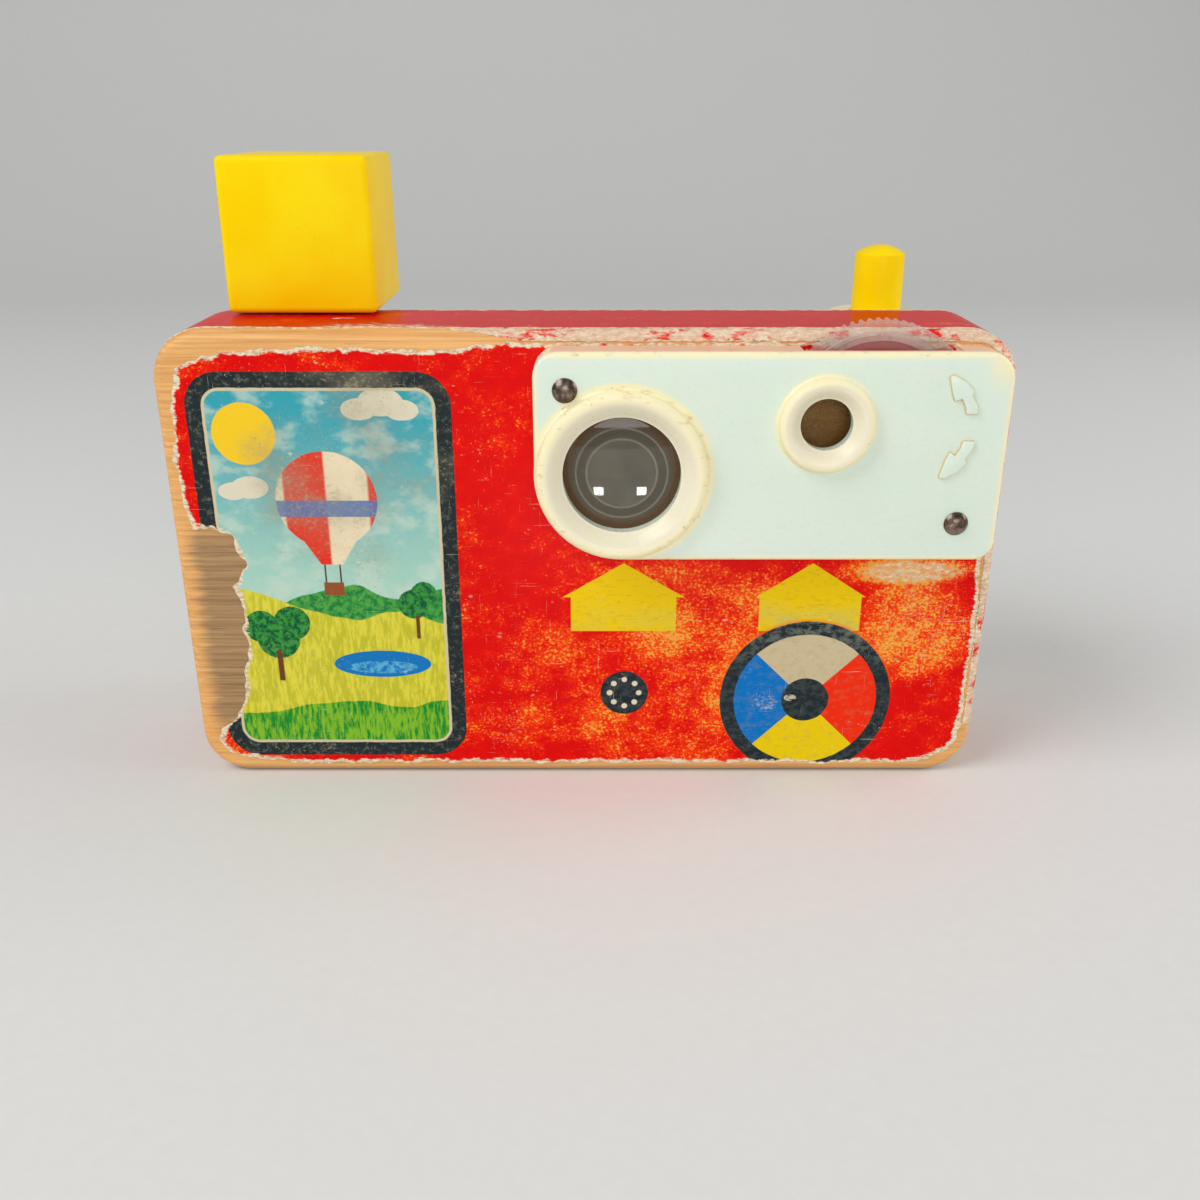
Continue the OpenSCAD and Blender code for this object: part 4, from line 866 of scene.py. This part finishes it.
large_ring = ring_outline(ring_bore, 17.0, 3.0, 1.5, 0.6)
combine(plate, turned("ring", large_ring, (viewer[0], face_d, viewer[1]), "F", 128), "UNION")
small_ring = ring_outline(small_ring_bore, 9.3, 2.5, 1.2, 0.5)
combine(plate, turned("ring", small_ring, (sight[0], face_d, sight[1]), "F"), "UNION")
seat_profile = [(12.7, 0), (13.9, 0), (13.9, -5.36), (12.7, -5.36)]
combine(plate, turned("seat", seat_profile, (viewer[0], inner_d, viewer[1]), "F"), "UNION")
drill(plate, viewer, face_d - 5, 1, ring_bore, 128)
drill(plate, sight, face_d - 5, 1, small_ring_bore)
mouth = box("mouth", (wheel_at[0], (inner_d - sheet_t) / 2 + 0.6, plate_top - 0.9), (2 * slot_half, 6.6, 4))
combine(plate, mouth, "DIFFERENCE")

upper_arrow = [(69.6, 91.1), (70.4, 91.6), (72.8, 90.4), (74.9, 88.5), (74.6, 87.5), (75.8, 85.6),
               (76.1, 83.7), (73.5, 83.7), (73.3, 85.2), (72.5, 86.7), (71.1, 86.1), (70.3, 88.5)]
lower_arrow = [(69.5, 71.0), (70.8, 70.8), (73.3, 72.1), (75.0, 74.1), (74.6, 74.9), (75.9, 76.8),
               (76.2, 78.6), (73.5, 78.7), (73.2, 77.2), (72.4, 75.7), (71.3, 76.6), (70.5, 74.8),
               (70.0, 73.0)]
arrows = []
for outline, name in ((upper_arrow, "raised_arrow_up"), (lower_arrow, "raised_arrow_down")):
    arrow = cut_shape(name, outline, face_d - arrow_proud, face_d + 0.3)
    apply_modifier(arrow, "BEVEL", width=0.42 * MM, segments=3, limit_method="ANGLE",
                   angle_limit=math.radians(40))
    smooth(arrow, 40)
    arrows.append(arrow)
close_up(plate)
smooth(plate, 32)

white_moulding, tree, shader, place = new_finish("white_moulding")
x, y, z = along(tree, place)


def ageing_group():
    """Yellowed rims and brown specks of dirt on pale plastic: Rim is 1 along an edge."""
    group, given, end = new_group("plastic_ageing", {"Place": "vector", "Base": "colour", "Rim": "value"},
                                  {"Colour": "colour", "Roughness": "value", "Height": "value"})
    soft = noise(group, given["Place"], (8, 8, 8), 4)
    fine = noise(group, given["Place"], (1.1, 1.1, 0.8), 5, 0.65)
    speck = noise(group, given["Place"], (0.55, 0.55, 0.75), 3)
    rim = given["Rim"]
    tone = mix(group, (rim * (soft * 0.9 + 0.35)).ramp(0.1, 0.75), given["Base"], rgb(250, 240, 196))
    stain = noise(group, given["Place"], (3.2, 3.2, 1.3), 4, 0.6)
    tone = mix(group, (rim * 0.42 + stain * 0.9).ramp(0.86, 1.04) * 0.6, tone, rgb(214, 172, 108))
    tone = mix(group, (rim * 0.3 + speck * 0.55 + stain * 0.5).ramp(0.93, 1.0) * 0.7, tone, rgb(120, 82, 48))
    tone = mix(group, soft.ramp(0.5, 0.75) * 0.22, tone, rgb(240, 240, 222))
    wire(group, tone, end.inputs["Colour"])
    wire(group, fine * 0.18 + rim * 0.12 + 0.2, end.inputs["Roughness"])
    wire(group, fine * 0.4 + soft * 0.6, end.inputs["Height"])
    return group


plastic_ageing = ageing_group()


def near_ring(middle, radius, width):
    return (span(x - middle[0], z - middle[1]) - radius).size().ramp(width, width * 0.3)


edge_gap = (x - plate_left).lower(-x + plate_right).lower((z - plate_bottom).lower(-z + plate_top))
rim = edge_gap.ramp(1.9, 0.3) * 0.8
rim = rim.higher((-z + plate_top).ramp(2.0, 0.4) * 0.9)
rim = rim.higher(near_ring(viewer, 16.6, 2.6) * 0.9).higher(near_ring(sight, 9.0, 1.5) * 0.75)
rim = rim.higher(((x - 72).ramp(0, 10) * (z - 84).ramp(0, 11)))
raised = (y - (face_y - 0.25)).ramp(0.12, -0.12) * x.ramp(66, 65)
base = mix(tree, raised, rgb(224, 238, 223), rgb(240, 232, 204))
grown = use_group(tree, plastic_ageing, Place=place, Base=base, Rim=rim)
# The side walls of the raised arrows are tan
tan_arrow_walls = between(y - face_y, -0.66, -0.12, 0.06) * x.ramp(67, 68) * x.ramp(78, 77)
tone = mix(tree, tan_arrow_walls * 0.9, grown["Colour"], rgb(216, 188, 132))
# Painted reflection: the plate's top wall is tinted pink for the red paper that it reflects
painted_red_reflection = z.ramp(plate_top - 0.4, plate_top - 0.15) * (y - face_y).ramp(0.7, 1.3) * 0.75
tone = mix(tree, painted_red_reflection, tone, rgb(238, 176, 152))
paint(tree, shader, Base_Color=tone, Roughness=grown["Roughness"], Specular_IOR_Level=0.35,
      Normal=relief(tree, grown["Height"], 0.06, 0.3), Subsurface_Weight=0.08, Subsurface_Scale=0.002)
for piece in [plate] + arrows:
    coat(piece, white_moulding)
    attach(piece, "camera")
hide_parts("front_plate")

# Plate nails: two dome-headed nails, brown with age, through the plate into the wood.
# The heads are a little dented from the hammer.
nail_head = [(1.0, 0.0), (2.3, 0.0), (2.45, 0.12)] + dome(2.42, 1.15, 0.15, 8)
nail_profile = [(0.0, -14.7), (0.7, -13.2), (1.0, -12.6)] + nail_head
plate_nails = []
for k, nail_at in enumerate(((-3.7, 88.3), (74.3, 61.5))):
    nail = turned("plate_nail_%d" % (k + 1), nail_profile, (nail_at[0], face_d, nail_at[1]), "F", 48)
    smooth(nail, 40)
    plate_nails.append(nail)
aged_nail, tree, shader, place = new_finish("aged_nail")
patch = noise(tree, place, (1.4, 1.4, 1.4), 5, 0.6)
pits = noise(tree, place, (0.35, 0.35, 0.35), 3)
paint(tree, shader, Base_Color=mix(tree, patch.ramp(0.36, 0.66), rgb(84, 66, 54), rgb(132, 116, 104)),
      Metallic=patch.ramp(0.7, 0.3) * 0.35 + 0.55, Roughness=pits * 0.2 + 0.12,
      Normal=relief(tree, pits * 0.4 + patch * 0.6, 0.12, 0.6))
for nail in plate_nails:
    coat(nail, aged_nail)
    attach(nail, "camera")
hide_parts("plate_nails")

# Colour wheel: a clear moulded disc with a ridged rim that a thumb turns, and four films behind its web.
# It runs on a steel pin driven into the wood.
wheel_mid = (inner_d - sheet_t) / 2
wheel_middle = (wheel_at[0], wheel_mid, wheel_at[1])
wheel_r, ridge_r, wheel_half_t, wheel_steps = 18.75, 19.4, 2.1, 72 * 4
hub_r, web_r, web_half_t, wheel_bore, past_wheel = 3.8, 17.5, 0.7, 2.06, 3
wheel_d0, wheel_d1 = wheel_mid - wheel_half_t, wheel_mid + wheel_half_t
knurled_wheel = rod("knurled_wheel", wheel_at, wheel_d0, wheel_d1, wheel_r, wheel_steps)


def on_ridge(point):
    turn = math.atan2(point.z - wheel_at[1], point.x - wheel_at[0]) / (2 * math.pi) * wheel_steps
    return round(turn) % 4 in (1, 2)


pick(knurled_wheel, "VERT", on_ridge)
ridge_scale = ridge_r / wheel_r
bpy.ops.transform.resize(value=(ridge_scale, 1, ridge_scale), center_override=at_depth(*wheel_middle))
done()
for d0, d1 in ((-past_wheel, -web_half_t), (web_half_t, past_wheel)):
    recess_profile = [(hub_r, -d0), (web_r, -d0), (web_r, -d1), (hub_r, -d1)]
    combine(knurled_wheel, turned("recess", recess_profile, wheel_middle, "F", 128), "DIFFERENCE")
inner_ring_profile = [(15.5, 0.6), (16.4, 0.6), (16.4, 1.1), (15.5, 1.1)]
combine(knurled_wheel, turned("inner_ring", inner_ring_profile, wheel_middle, "F", 128), "UNION")
drill(knurled_wheel, wheel_at, wheel_mid - past_wheel, wheel_mid + past_wheel, wheel_bore, 48)
close_up(knurled_wheel)
smooth(knurled_wheel, 25)
wheel_rim, tree, shader, place = new_finish("wheel_rim")
grime = noise(tree, place, (1.6, 1.2, 1.6), 4)
paint(tree, shader, Base_Color=mix(tree, grime.ramp(0.5, 0.75) * 0.6, rgb(226, 208, 202), rgb(196, 166, 150)),
      Roughness=grime.ramp(0.4, 0.8) * 0.2 + 0.12, Alpha=grime.ramp(0.3, 0.7) * 0.16 + 0.34)
wheel_web, tree, shader, place = new_finish("wheel_web")
x, y, z = along(tree, place)
across, up = x - wheel_at[0], z - wheel_at[1]
# Painted light: the web is more opaque and pale near its rim at the top, lightening the films the plate
# shades
painted_light_veil = span(across, up).ramp(13.0, 15.0) * up.ramp(4.0, 9.0)
grime = noise(tree, place, (2.4, 2.4, 2.4), 4)
paint(tree, shader, Base_Color=mix(tree, grime.ramp(0.5, 0.75) * 0.3, rgb(232, 214, 206), rgb(206, 188, 168)),
      Roughness=grime.ramp(0.45, 0.8) * 0.2 + 0.1, Specular_IOR_Level=0.12,
      Alpha=grime.ramp(0.3, 0.7) * 0.03 + painted_light_veil * 0.14 + 0.02)
coat(knurled_wheel, wheel_rim)
knurled_wheel.data.materials.append(wheel_web)
for face in knurled_wheel.data.polygons:
    from_axis = math.hypot(face.center.x / MM - wheel_at[0], face.center.z / MM - wheel_at[1])
    face.material_index = 1 if from_axis < 15.3 else 0
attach(knurled_wheel, "wheel")
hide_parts("color_wheel")


def film_finish(name, tint):
    """Thin coloured film that light goes through, with a little dust."""
    finish, tree, shader, place = new_finish(name)
    dust = noise(tree, place, (0.6, 0.6, 0.6), 3, 0.6)
    paint(tree, shader, Base_Color=mix(tree, dust.ramp(0.6, 0.75) * 0.3, tint, rgb(190, 180, 150)),
          Roughness=dust.ramp(0.5, 0.8) * 0.3 + 0.15, Alpha=dust.ramp(0.5, 0.8) * 0.2 + 0.66,
          Specular_IOR_Level=0.2)
    return finish


def dress(finish, *names):
    """Gives CAD nodes that keep their own shape a finish."""
    for name in names:
        coat(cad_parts[name], finish)


film_tints = {"yellow": rgb(150, 102, 4), "red": rgb(226, 84, 92), "clear": rgb(236, 232, 224),
              "blue": rgb(20, 80, 190)}
for film, tint in film_tints.items():
    dress(film_finish(film + "_film", tint), "gel_" + film)

bright_steel, tree, shader, place = new_finish("bright_steel")
scratch = noise(tree, place, (0.3, 0.3, 4), 4)
paint(tree, shader, Base_Color=mix(tree, scratch.ramp(0.35, 0.65), rgb(172, 172, 174), rgb(206, 206, 208)),
      Metallic=1.0, Roughness=scratch * 0.25 + 0.2)
dress(bright_steel, "wheel_pin", "cube_spindle", "spindle_bracket", "disc_axle", "axle_clip", "plunger_pin",
      "return_spring")

# Drive: the bar, the pinions, the picture wheel and the star are moulded in plain white nylon.
# The pawls and detents are strips of spring brass held on moulded posts.
nylon, tree, shader, place = new_finish("white_nylon")
flow = noise(tree, place, (3, 3, 3), 4)
paint(tree, shader, Base_Color=mix(tree, flow.ramp(0.35, 0.65), rgb(222, 220, 208), rgb(238, 238, 230)),
      Roughness=flow * 0.2 + 0.35, Normal=relief(tree, flow, 0.05, 0.3))
dress(nylon, "cube_star", "cube_pinion", "picture_wheel", "disc_pinion", "slide_bar")
spring_brass, tree, shader, place = new_finish("spring_brass")
tarnish = noise(tree, place, (1.6, 1.6, 1.6), 5)
paint(tree, shader, Base_Color=mix(tree, tarnish.ramp(0.4, 0.7), rgb(212, 172, 90), rgb(150, 112, 58)),
      Metallic=1.0, Roughness=tarnish * 0.3 + 0.2)
dress(spring_brass, "cube_pawl", "cube_detent", "disc_pawl", "disc_detent")
picture_film, tree, shader, place = new_finish("picture_film")
tone = noise(tree, place, (2.5, 2.5, 2.5), 5)
paint(tree, shader, Base_Color=mix(tree, tone.ramp(0.35, 0.7), rgb(112, 106, 86), rgb(140, 134, 112)),
      Roughness=0.3)
dress(picture_film, "picture_film")

# Rear cover: a moulded shell nailed over the drive, with an eyepiece for each viewer and loops for the bar.
# It is ivory plastic with a soft outer edge, and its nails match those of the plate.
cover_d0, cover_d1, cover_in = 28.75, 50.75, 48.75
cover_half_w, cover_low, cover_high, cover_corner = 81.5, 4, 93.9, 8
cover_wall, cover_edge, eyepiece_bore, eyepiece_seat = 2, 2, 7.0, 8.32
cube_at, button_at = (-58.7, 33.3), (65.4, 40.0)
cover_outline = rounded(-cover_half_w, cover_low, cover_half_w, cover_high, (cover_corner,) * 4, 16)
cover_shell = cut_shape("cover_shell", cover_outline, cover_d0, cover_d1)
hollow(cover_shell, lambda normal: normal.y < -0.9, cover_wall, (0, cover_in - cover_d0, 0))
soften(cover_shell, WOOD_FRONT + cover_d1, cover_edge, 6)


def post(at, d0, d1, radius, sides=48):
    """A round post along the depth, joined to the cover."""
    combine(cover_shell, rod("post", at, d0, d1, radius, sides), "UNION")


def block(low, high, operation):
    """A box between two corners of (x, depth, z), joined to the cover or cut out of it."""
    middle = [(a + b) / 2 for a, b in zip(low, high)]
    combine(cover_shell, box("block", middle, [b - a for a, b in zip(low, high)]), operation)


def bore_up(at, z0, z1, radius):
    """A round hole at (x, depth), up through a wall of the cover that lies between two heights."""
    clear()
    bpy.ops.mesh.primitive_cylinder_add(
        vertices=64, radius=radius * MM, depth=(z1 - z0 + 2 * overrun) * MM,
        location=at_depth(at[0], at[1], (z0 + z1) / 2))
    combine(cover_shell, settle(bpy.context.active_object, "bore"), "DIFFERENCE")


cover_nails_at = [(px, pz) for px in (-75.5, 75.5) for pz in (10, 87.9)]
inside = cover_in + 0.3
cup_proud = 3.5
viewer_cup = ring_outline(eyepiece_bore, 13.0, cup_proud, 1.4, 0.6)
combine(cover_shell, turned("ring", viewer_cup, (viewer[0], cover_d1, viewer[1]), "B", 128), "UNION")
sight_cup = ring_outline(small_ring_bore, 9.3, cup_proud, 1.2, 0.6)
combine(cover_shell, turned("ring", sight_cup, (sight[0], cover_d1, sight[1]), "B"), "UNION")

# Posts: the eyepiece's seat, the sight's tube, one for the picture wheel's detent and one round each nail
seat_d0, seat_r, sight_tube_r, nail_post_r = 45.75, 9.6, 6.3, 3.2
detent_post_at, detent_post_d0, detent_post_r = (11.14, 28.62), 32.45, 1.1
post(viewer, seat_d0, inside, seat_r, 64)
post(sight, cover_d0, inside, sight_tube_r, 64)
post(detent_post_at, detent_post_d0, inside, detent_post_r, 24)
for nail_at in cover_nails_at:
    post(nail_at, cover_d0, inside, nail_post_r)

# Two loops that the bar slides in, and the shelf that the button's spring stands on
guide_low, guide_high, guide_len, guide_wall = 58.15, 65.55, 5, 2
for left, d0, gap_end in ((-40.49, 37.95, 43.35), (41.56, 36.2, 41.8)):
    block((left, d0, guide_low), (left + guide_len, inside, guide_high), "UNION")
    block((left - overrun, d0 + guide_wall, guide_low + guide_wall),
          (left + guide_len + overrun, gap_end, guide_high - guide_wall), "DIFFERENCE")
shelf_low, shelf_high, shelf_half = 65.65, 68.15, 7
block((button_at[0] - shelf_half, button_at[1] - shelf_half, shelf_low),
      (button_at[0] + shelf_half, inside, shelf_high), "UNION")

# Bores: through the back for the viewers and the nails, and up through the roof for the cube and the button
past_cups, roof_low = cover_d1 + cup_proud + overrun, cover_high - cover_wall
nail_bore, cube_bore, collar_bore, stem_bore = 1.02, 3.62, 7.02, 3.66
drill(cover_shell, viewer, seat_d0 - overrun, past_cups, eyepiece_bore, 96)
drill(cover_shell, viewer, seat_d0 - overrun, cover_in, eyepiece_seat, 96)
drill(cover_shell, sight, cover_d0 - overrun, past_cups, small_ring_bore)
for nail_at in cover_nails_at:
    drill(cover_shell, nail_at, cover_d0 - overrun, cover_d1 + overrun, nail_bore, 24)
bore_up(cube_at, roof_low, cover_high, cube_bore)
bore_up(button_at, roof_low, cover_high, collar_bore)
bore_up(button_at, shelf_low, shelf_high, stem_bore)
close_up(cover_shell)
smooth(cover_shell, 32)
ivory_moulding, tree, shader, place = new_finish("ivory_moulding")
x, y, z = along(tree, place)
rim = (x.size() - 78.0).higher(-z + 7.5).higher(z - 90.4).ramp(0.0, 3.2) * 0.6
grown = use_group(tree, plastic_ageing, Place=place, Base=rgb(238, 234, 212), Rim=rim)
scrape = noise(tree, place, (12, 3, 0.18), 3, 0.6, 0.5).higher(noise(tree, place, (0.16, 3, 9), 3, 0.6, 0.3))
handling = noise(tree, place, (24, 24, 18), 5, 0.6)
tone = mix(tree, handling.ramp(0.48, 0.74) * 0.4, grown["Colour"], rgb(206, 188, 146))
tone = mix(tree, (scrape + handling * 0.14).ramp(0.74, 0.82) * 0.55, tone, rgb(172, 150, 112))
paint(tree, shader, Base_Color=tone, Roughness=grown["Roughness"] + handling * 0.15,
      Normal=relief(tree, grown["Height"] - scrape.ramp(0.68, 0.78) * 0.6, 0.06, 0.3))
coat(cover_shell, ivory_moulding)
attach(cover_shell, "camera")
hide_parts("rear_cover")
dress(ivory_moulding, "spindle_bush")

cover_nail_profile = [(0.0, -32.0), (0.7, -30.6), (1.0, -30.0)] + nail_head
for k, nail_at in enumerate(cover_nails_at):
    nail = turned("cover_nail_%d" % (k + 1), cover_nail_profile, (nail_at[0], cover_d1, nail_at[1]), "B", 48)
    smooth(nail, 40)
    coat(nail, aged_nail)
    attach(nail, "camera")
    if k == 0:
        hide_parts("cover_nails")

eyepiece_profile = [(0.0, -1.2), (8.3, -1.2), (8.3, 0.0)] + dome(6.9, 1.0, 0.0)
eyepiece = turned("viewer_eyepiece", eyepiece_profile, (viewer[0], cover_in, viewer[1]), "B")
smooth(eyepiece, 30)
clear_moulding, tree, shader, place = new_finish("clear_moulding")
dust = noise(tree, place, (0.5, 0.5, 0.5), 3, 0.6)
paint(tree, shader, Base_Color=rgb(236, 232, 222), Roughness=dust.ramp(0.62, 0.78) * 0.2 + 0.015,
      Transmission_Weight=1.0, IOR=1.49)
coat(eyepiece, clear_moulding)
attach(eyepiece, "camera")
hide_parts("eyepiece_lens")

# Flash cube: a hollow moulded cube that turns a quarter with each press, open below for its base.
# Its faces carry the fine hairlines and specks of handling.
cube_low, cube_high, cube_side, cube_top_side = 98.95, 129.8, 31.0, 30.5
cube_round, cube_lip, cube_hollow = 1.3, 0.4, 28.85
cube_sides = (cube_side, cube_side, cube_high - cube_low)
flash_cube = box("flash_cube_shell", (*cube_at, (cube_low + cube_high) / 2), cube_sides)
pick(flash_cube, "FACE", lambda centre, normal: normal.z > 0.9)
cube_taper = cube_top_side / cube_side
bpy.ops.transform.resize(value=(cube_taper, cube_taper, 1), center_override=at_depth(*cube_at, cube_high))
done()
pick(flash_cube, "EDGE", lambda a, b: True)
bpy.ops.mesh.bevel(offset=cube_round * MM, segments=5, affect="EDGES")
done()
hollow(flash_cube, lambda normal: normal.z < -0.99, cube_lip, (0, 0, cube_hollow))
smooth(flash_cube, 40)
yellow_moulding, tree, shader, place = new_finish("yellow_moulding")
x, y, z = along(tree, place)
soft = noise(tree, place, (14, 14, 14), 4)
fine = noise(tree, place, (0.7, 0.7, 0.7), 4, 0.6)
hair = noise(tree, place, (5, 5, 0.2), 3, 0.6)
tone = mix(tree, soft.ramp(0.35, 0.7), rgb(255, 214, 0), rgb(255, 224, 14))
tone = mix(tree, fine.ramp(0.66, 0.76) * 0.4, tone, rgb(204, 150, 20))
tone = mix(tree, (hair + soft * 0.2).ramp(0.8, 0.86) * 0.35, tone, rgb(255, 236, 120))
paint(tree, shader, Base_Color=tone, Roughness=fine * 0.16 + soft * 0.1 + 0.2,
      Specular_IOR_Level=0.06, Normal=relief(tree, soft * 0.7 + fine * 0.3, 0.1, 0.3), Subsurface_Weight=0.06,
      Subsurface_Scale=0.002)
coat(flash_cube, yellow_moulding)
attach(flash_cube, "cube")
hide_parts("flash_cube")
dress(yellow_moulding, "cube_base")

# Shutter button: a round plunger with a soft domed top, in one piece with its slotted stem.
# It slides in a pale collar, and a spring round the stem lifts it.
button_profile = [(0.0, 58.29), (3.6, 58.29), (3.6, 86.4), (6.2, 86.4), (6.2, 88.0), (5.5, 88.0), (5.5, 96.4)]
button_profile += [(5.4, 108.6), (5.37, 108.78), (5.28, 108.9)] + dome(5.15, 1.72, 108.98, 10)
plunger = turned("plunger_button", button_profile, (*button_at, 0), "U", 72)
stem_slot_mid, stem_slot, stem_pin_z, stem_pin_bore = 66, (10, 3.6, 17.2), 61.69, 1.52
combine(plunger, box("stem_slot", (*button_at, stem_slot_mid), stem_slot), "DIFFERENCE")
drill(plunger, (button_at[0], stem_pin_z), button_at[1] - 6, button_at[1] + 6, stem_pin_bore, 32)
smooth(plunger, 40)
coat(plunger, yellow_moulding)
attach(plunger, "button")
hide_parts("shutter_button")

collar_r, collar_shoulder, collar_round = 10.5, 95.6, 0.7
collar_profile = [(5.56, 88.3), (7.0, 88.3), (7.0, 93.9), (10.3, 93.9), (collar_r, 94.1),
                  (collar_r, collar_shoulder)]
for turn in (math.radians(a) for a in (20, 45, 70, 90)):
    collar_profile.append((collar_r - collar_round * (1 - math.cos(turn)),
                           collar_shoulder + collar_round * math.sin(turn)))
collar_profile += [(8.2, 96.4), (5.9, 96.4), (5.56, 96.1)]
collar = turned("plunger_collar", collar_profile, (*button_at, 0), "U", 96)
smooth(collar, 35)
coat(collar, ivory_moulding)
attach(collar, "camera")
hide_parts("button_collar")

# Studio: a pale floor that curves up behind, a large soft light from the upper left, and soft fills in front
# and at the right.
# Two small bright panes stand low in front, and only glossy faces show them, as glints in the lens.
clear()
bpy.ops.mesh.primitive_grid_add(x_subdivisions=2, y_subdivisions=40, size=1)
sweep = bpy.context.active_object
sweep_flat, sweep_r, sweep_front, sweep_back = 0.75, 0.6, 1.1, 1.35
sweep_wide, sweep_long, sweep_drop = 4.0, 2.6, 0.0001
for vertex in sweep.data.vertices:
    run = (vertex.co.y + 0.5) * sweep_long - sweep_front
    bend = max(0.0, run - sweep_flat)
    height = sweep_r - math.sqrt(max(0.0, sweep_r ** 2 - min(bend, sweep_r) ** 2)) + max(0.0, bend - sweep_r)
    vertex.co = (vertex.co.x * sweep_wide, min(run, sweep_back), height - sweep_drop)
settle(sweep, "studio_sweep")
smooth(sweep, 60)
pale_sweep, tree, shader, place = new_finish("pale_sweep")
grain = noise(tree, place, (3, 3, 3), 3)
paint(tree, shader, Base_Color=mix(tree, grain, rgb(222, 222, 220), rgb(228, 228, 226)), Roughness=0.75)
coat(sweep, pale_sweep)


def soft_light(name, place_m, turn_deg, width, height, power):
    lamp = bpy.data.lights.new(name, "AREA")
    lamp.shape = "RECTANGLE"
    lamp.size, lamp.size_y, lamp.energy = width, height, power
    light = bpy.data.objects.new(name, lamp)
    bpy.context.collection.objects.link(light)
    light.location = place_m
    light.rotation_euler = tuple(math.radians(a) for a in turn_deg)
    return light


soft_light("upper_left", (-0.75, -0.45, 0.95), (35, -38, 0), 0.7, 0.7, 7.8)
soft_light("front_fill", (0.1, -0.9, 0.35), (74, 0, 6), 0.6, 0.4, 2.4)
soft_light("right_fill", (1.0, 0.05, 0.45), (68, 0, 92), 0.6, 0.6, 4)
for name, across_mm, turn_deg in (("left_pane", -13.9, -9.6), ("right_pane", 29.6, 10.4)):
    pane = soft_light(name, (across_mm * MM, -0.1273, 0.023), (114, 0, turn_deg), 0.010, 0.009, 0.007)
    pane.visible_camera = False
    pane.visible_diffuse = False
    pane.visible_transmission = False

world = bpy.data.worlds.new("studio_air")
bpy.context.scene.world = world
world.use_nodes = True
world.node_tree.nodes["Background"].inputs["Color"].default_value = (1.0, 1.0, 1.0, 1.0)
world.node_tree.nodes["Background"].inputs["Strength"].default_value = 0.355

camera = bpy.data.cameras.new("photo_camera")
camera.lens = 35.27
camera.sensor_width = 36.0
camera.clip_start = 0.01
viewpoint = bpy.data.objects.new("photo_camera", camera)
bpy.context.collection.objects.link(viewpoint)
viewpoint.location = (3.1 * MM, -252.94 * MM, 136.74 * MM)
viewpoint.rotation_euler = (math.radians(67.68), 0, 0)
bpy.context.scene.camera = viewpoint
bpy.context.scene.view_settings.view_transform = "Standard"
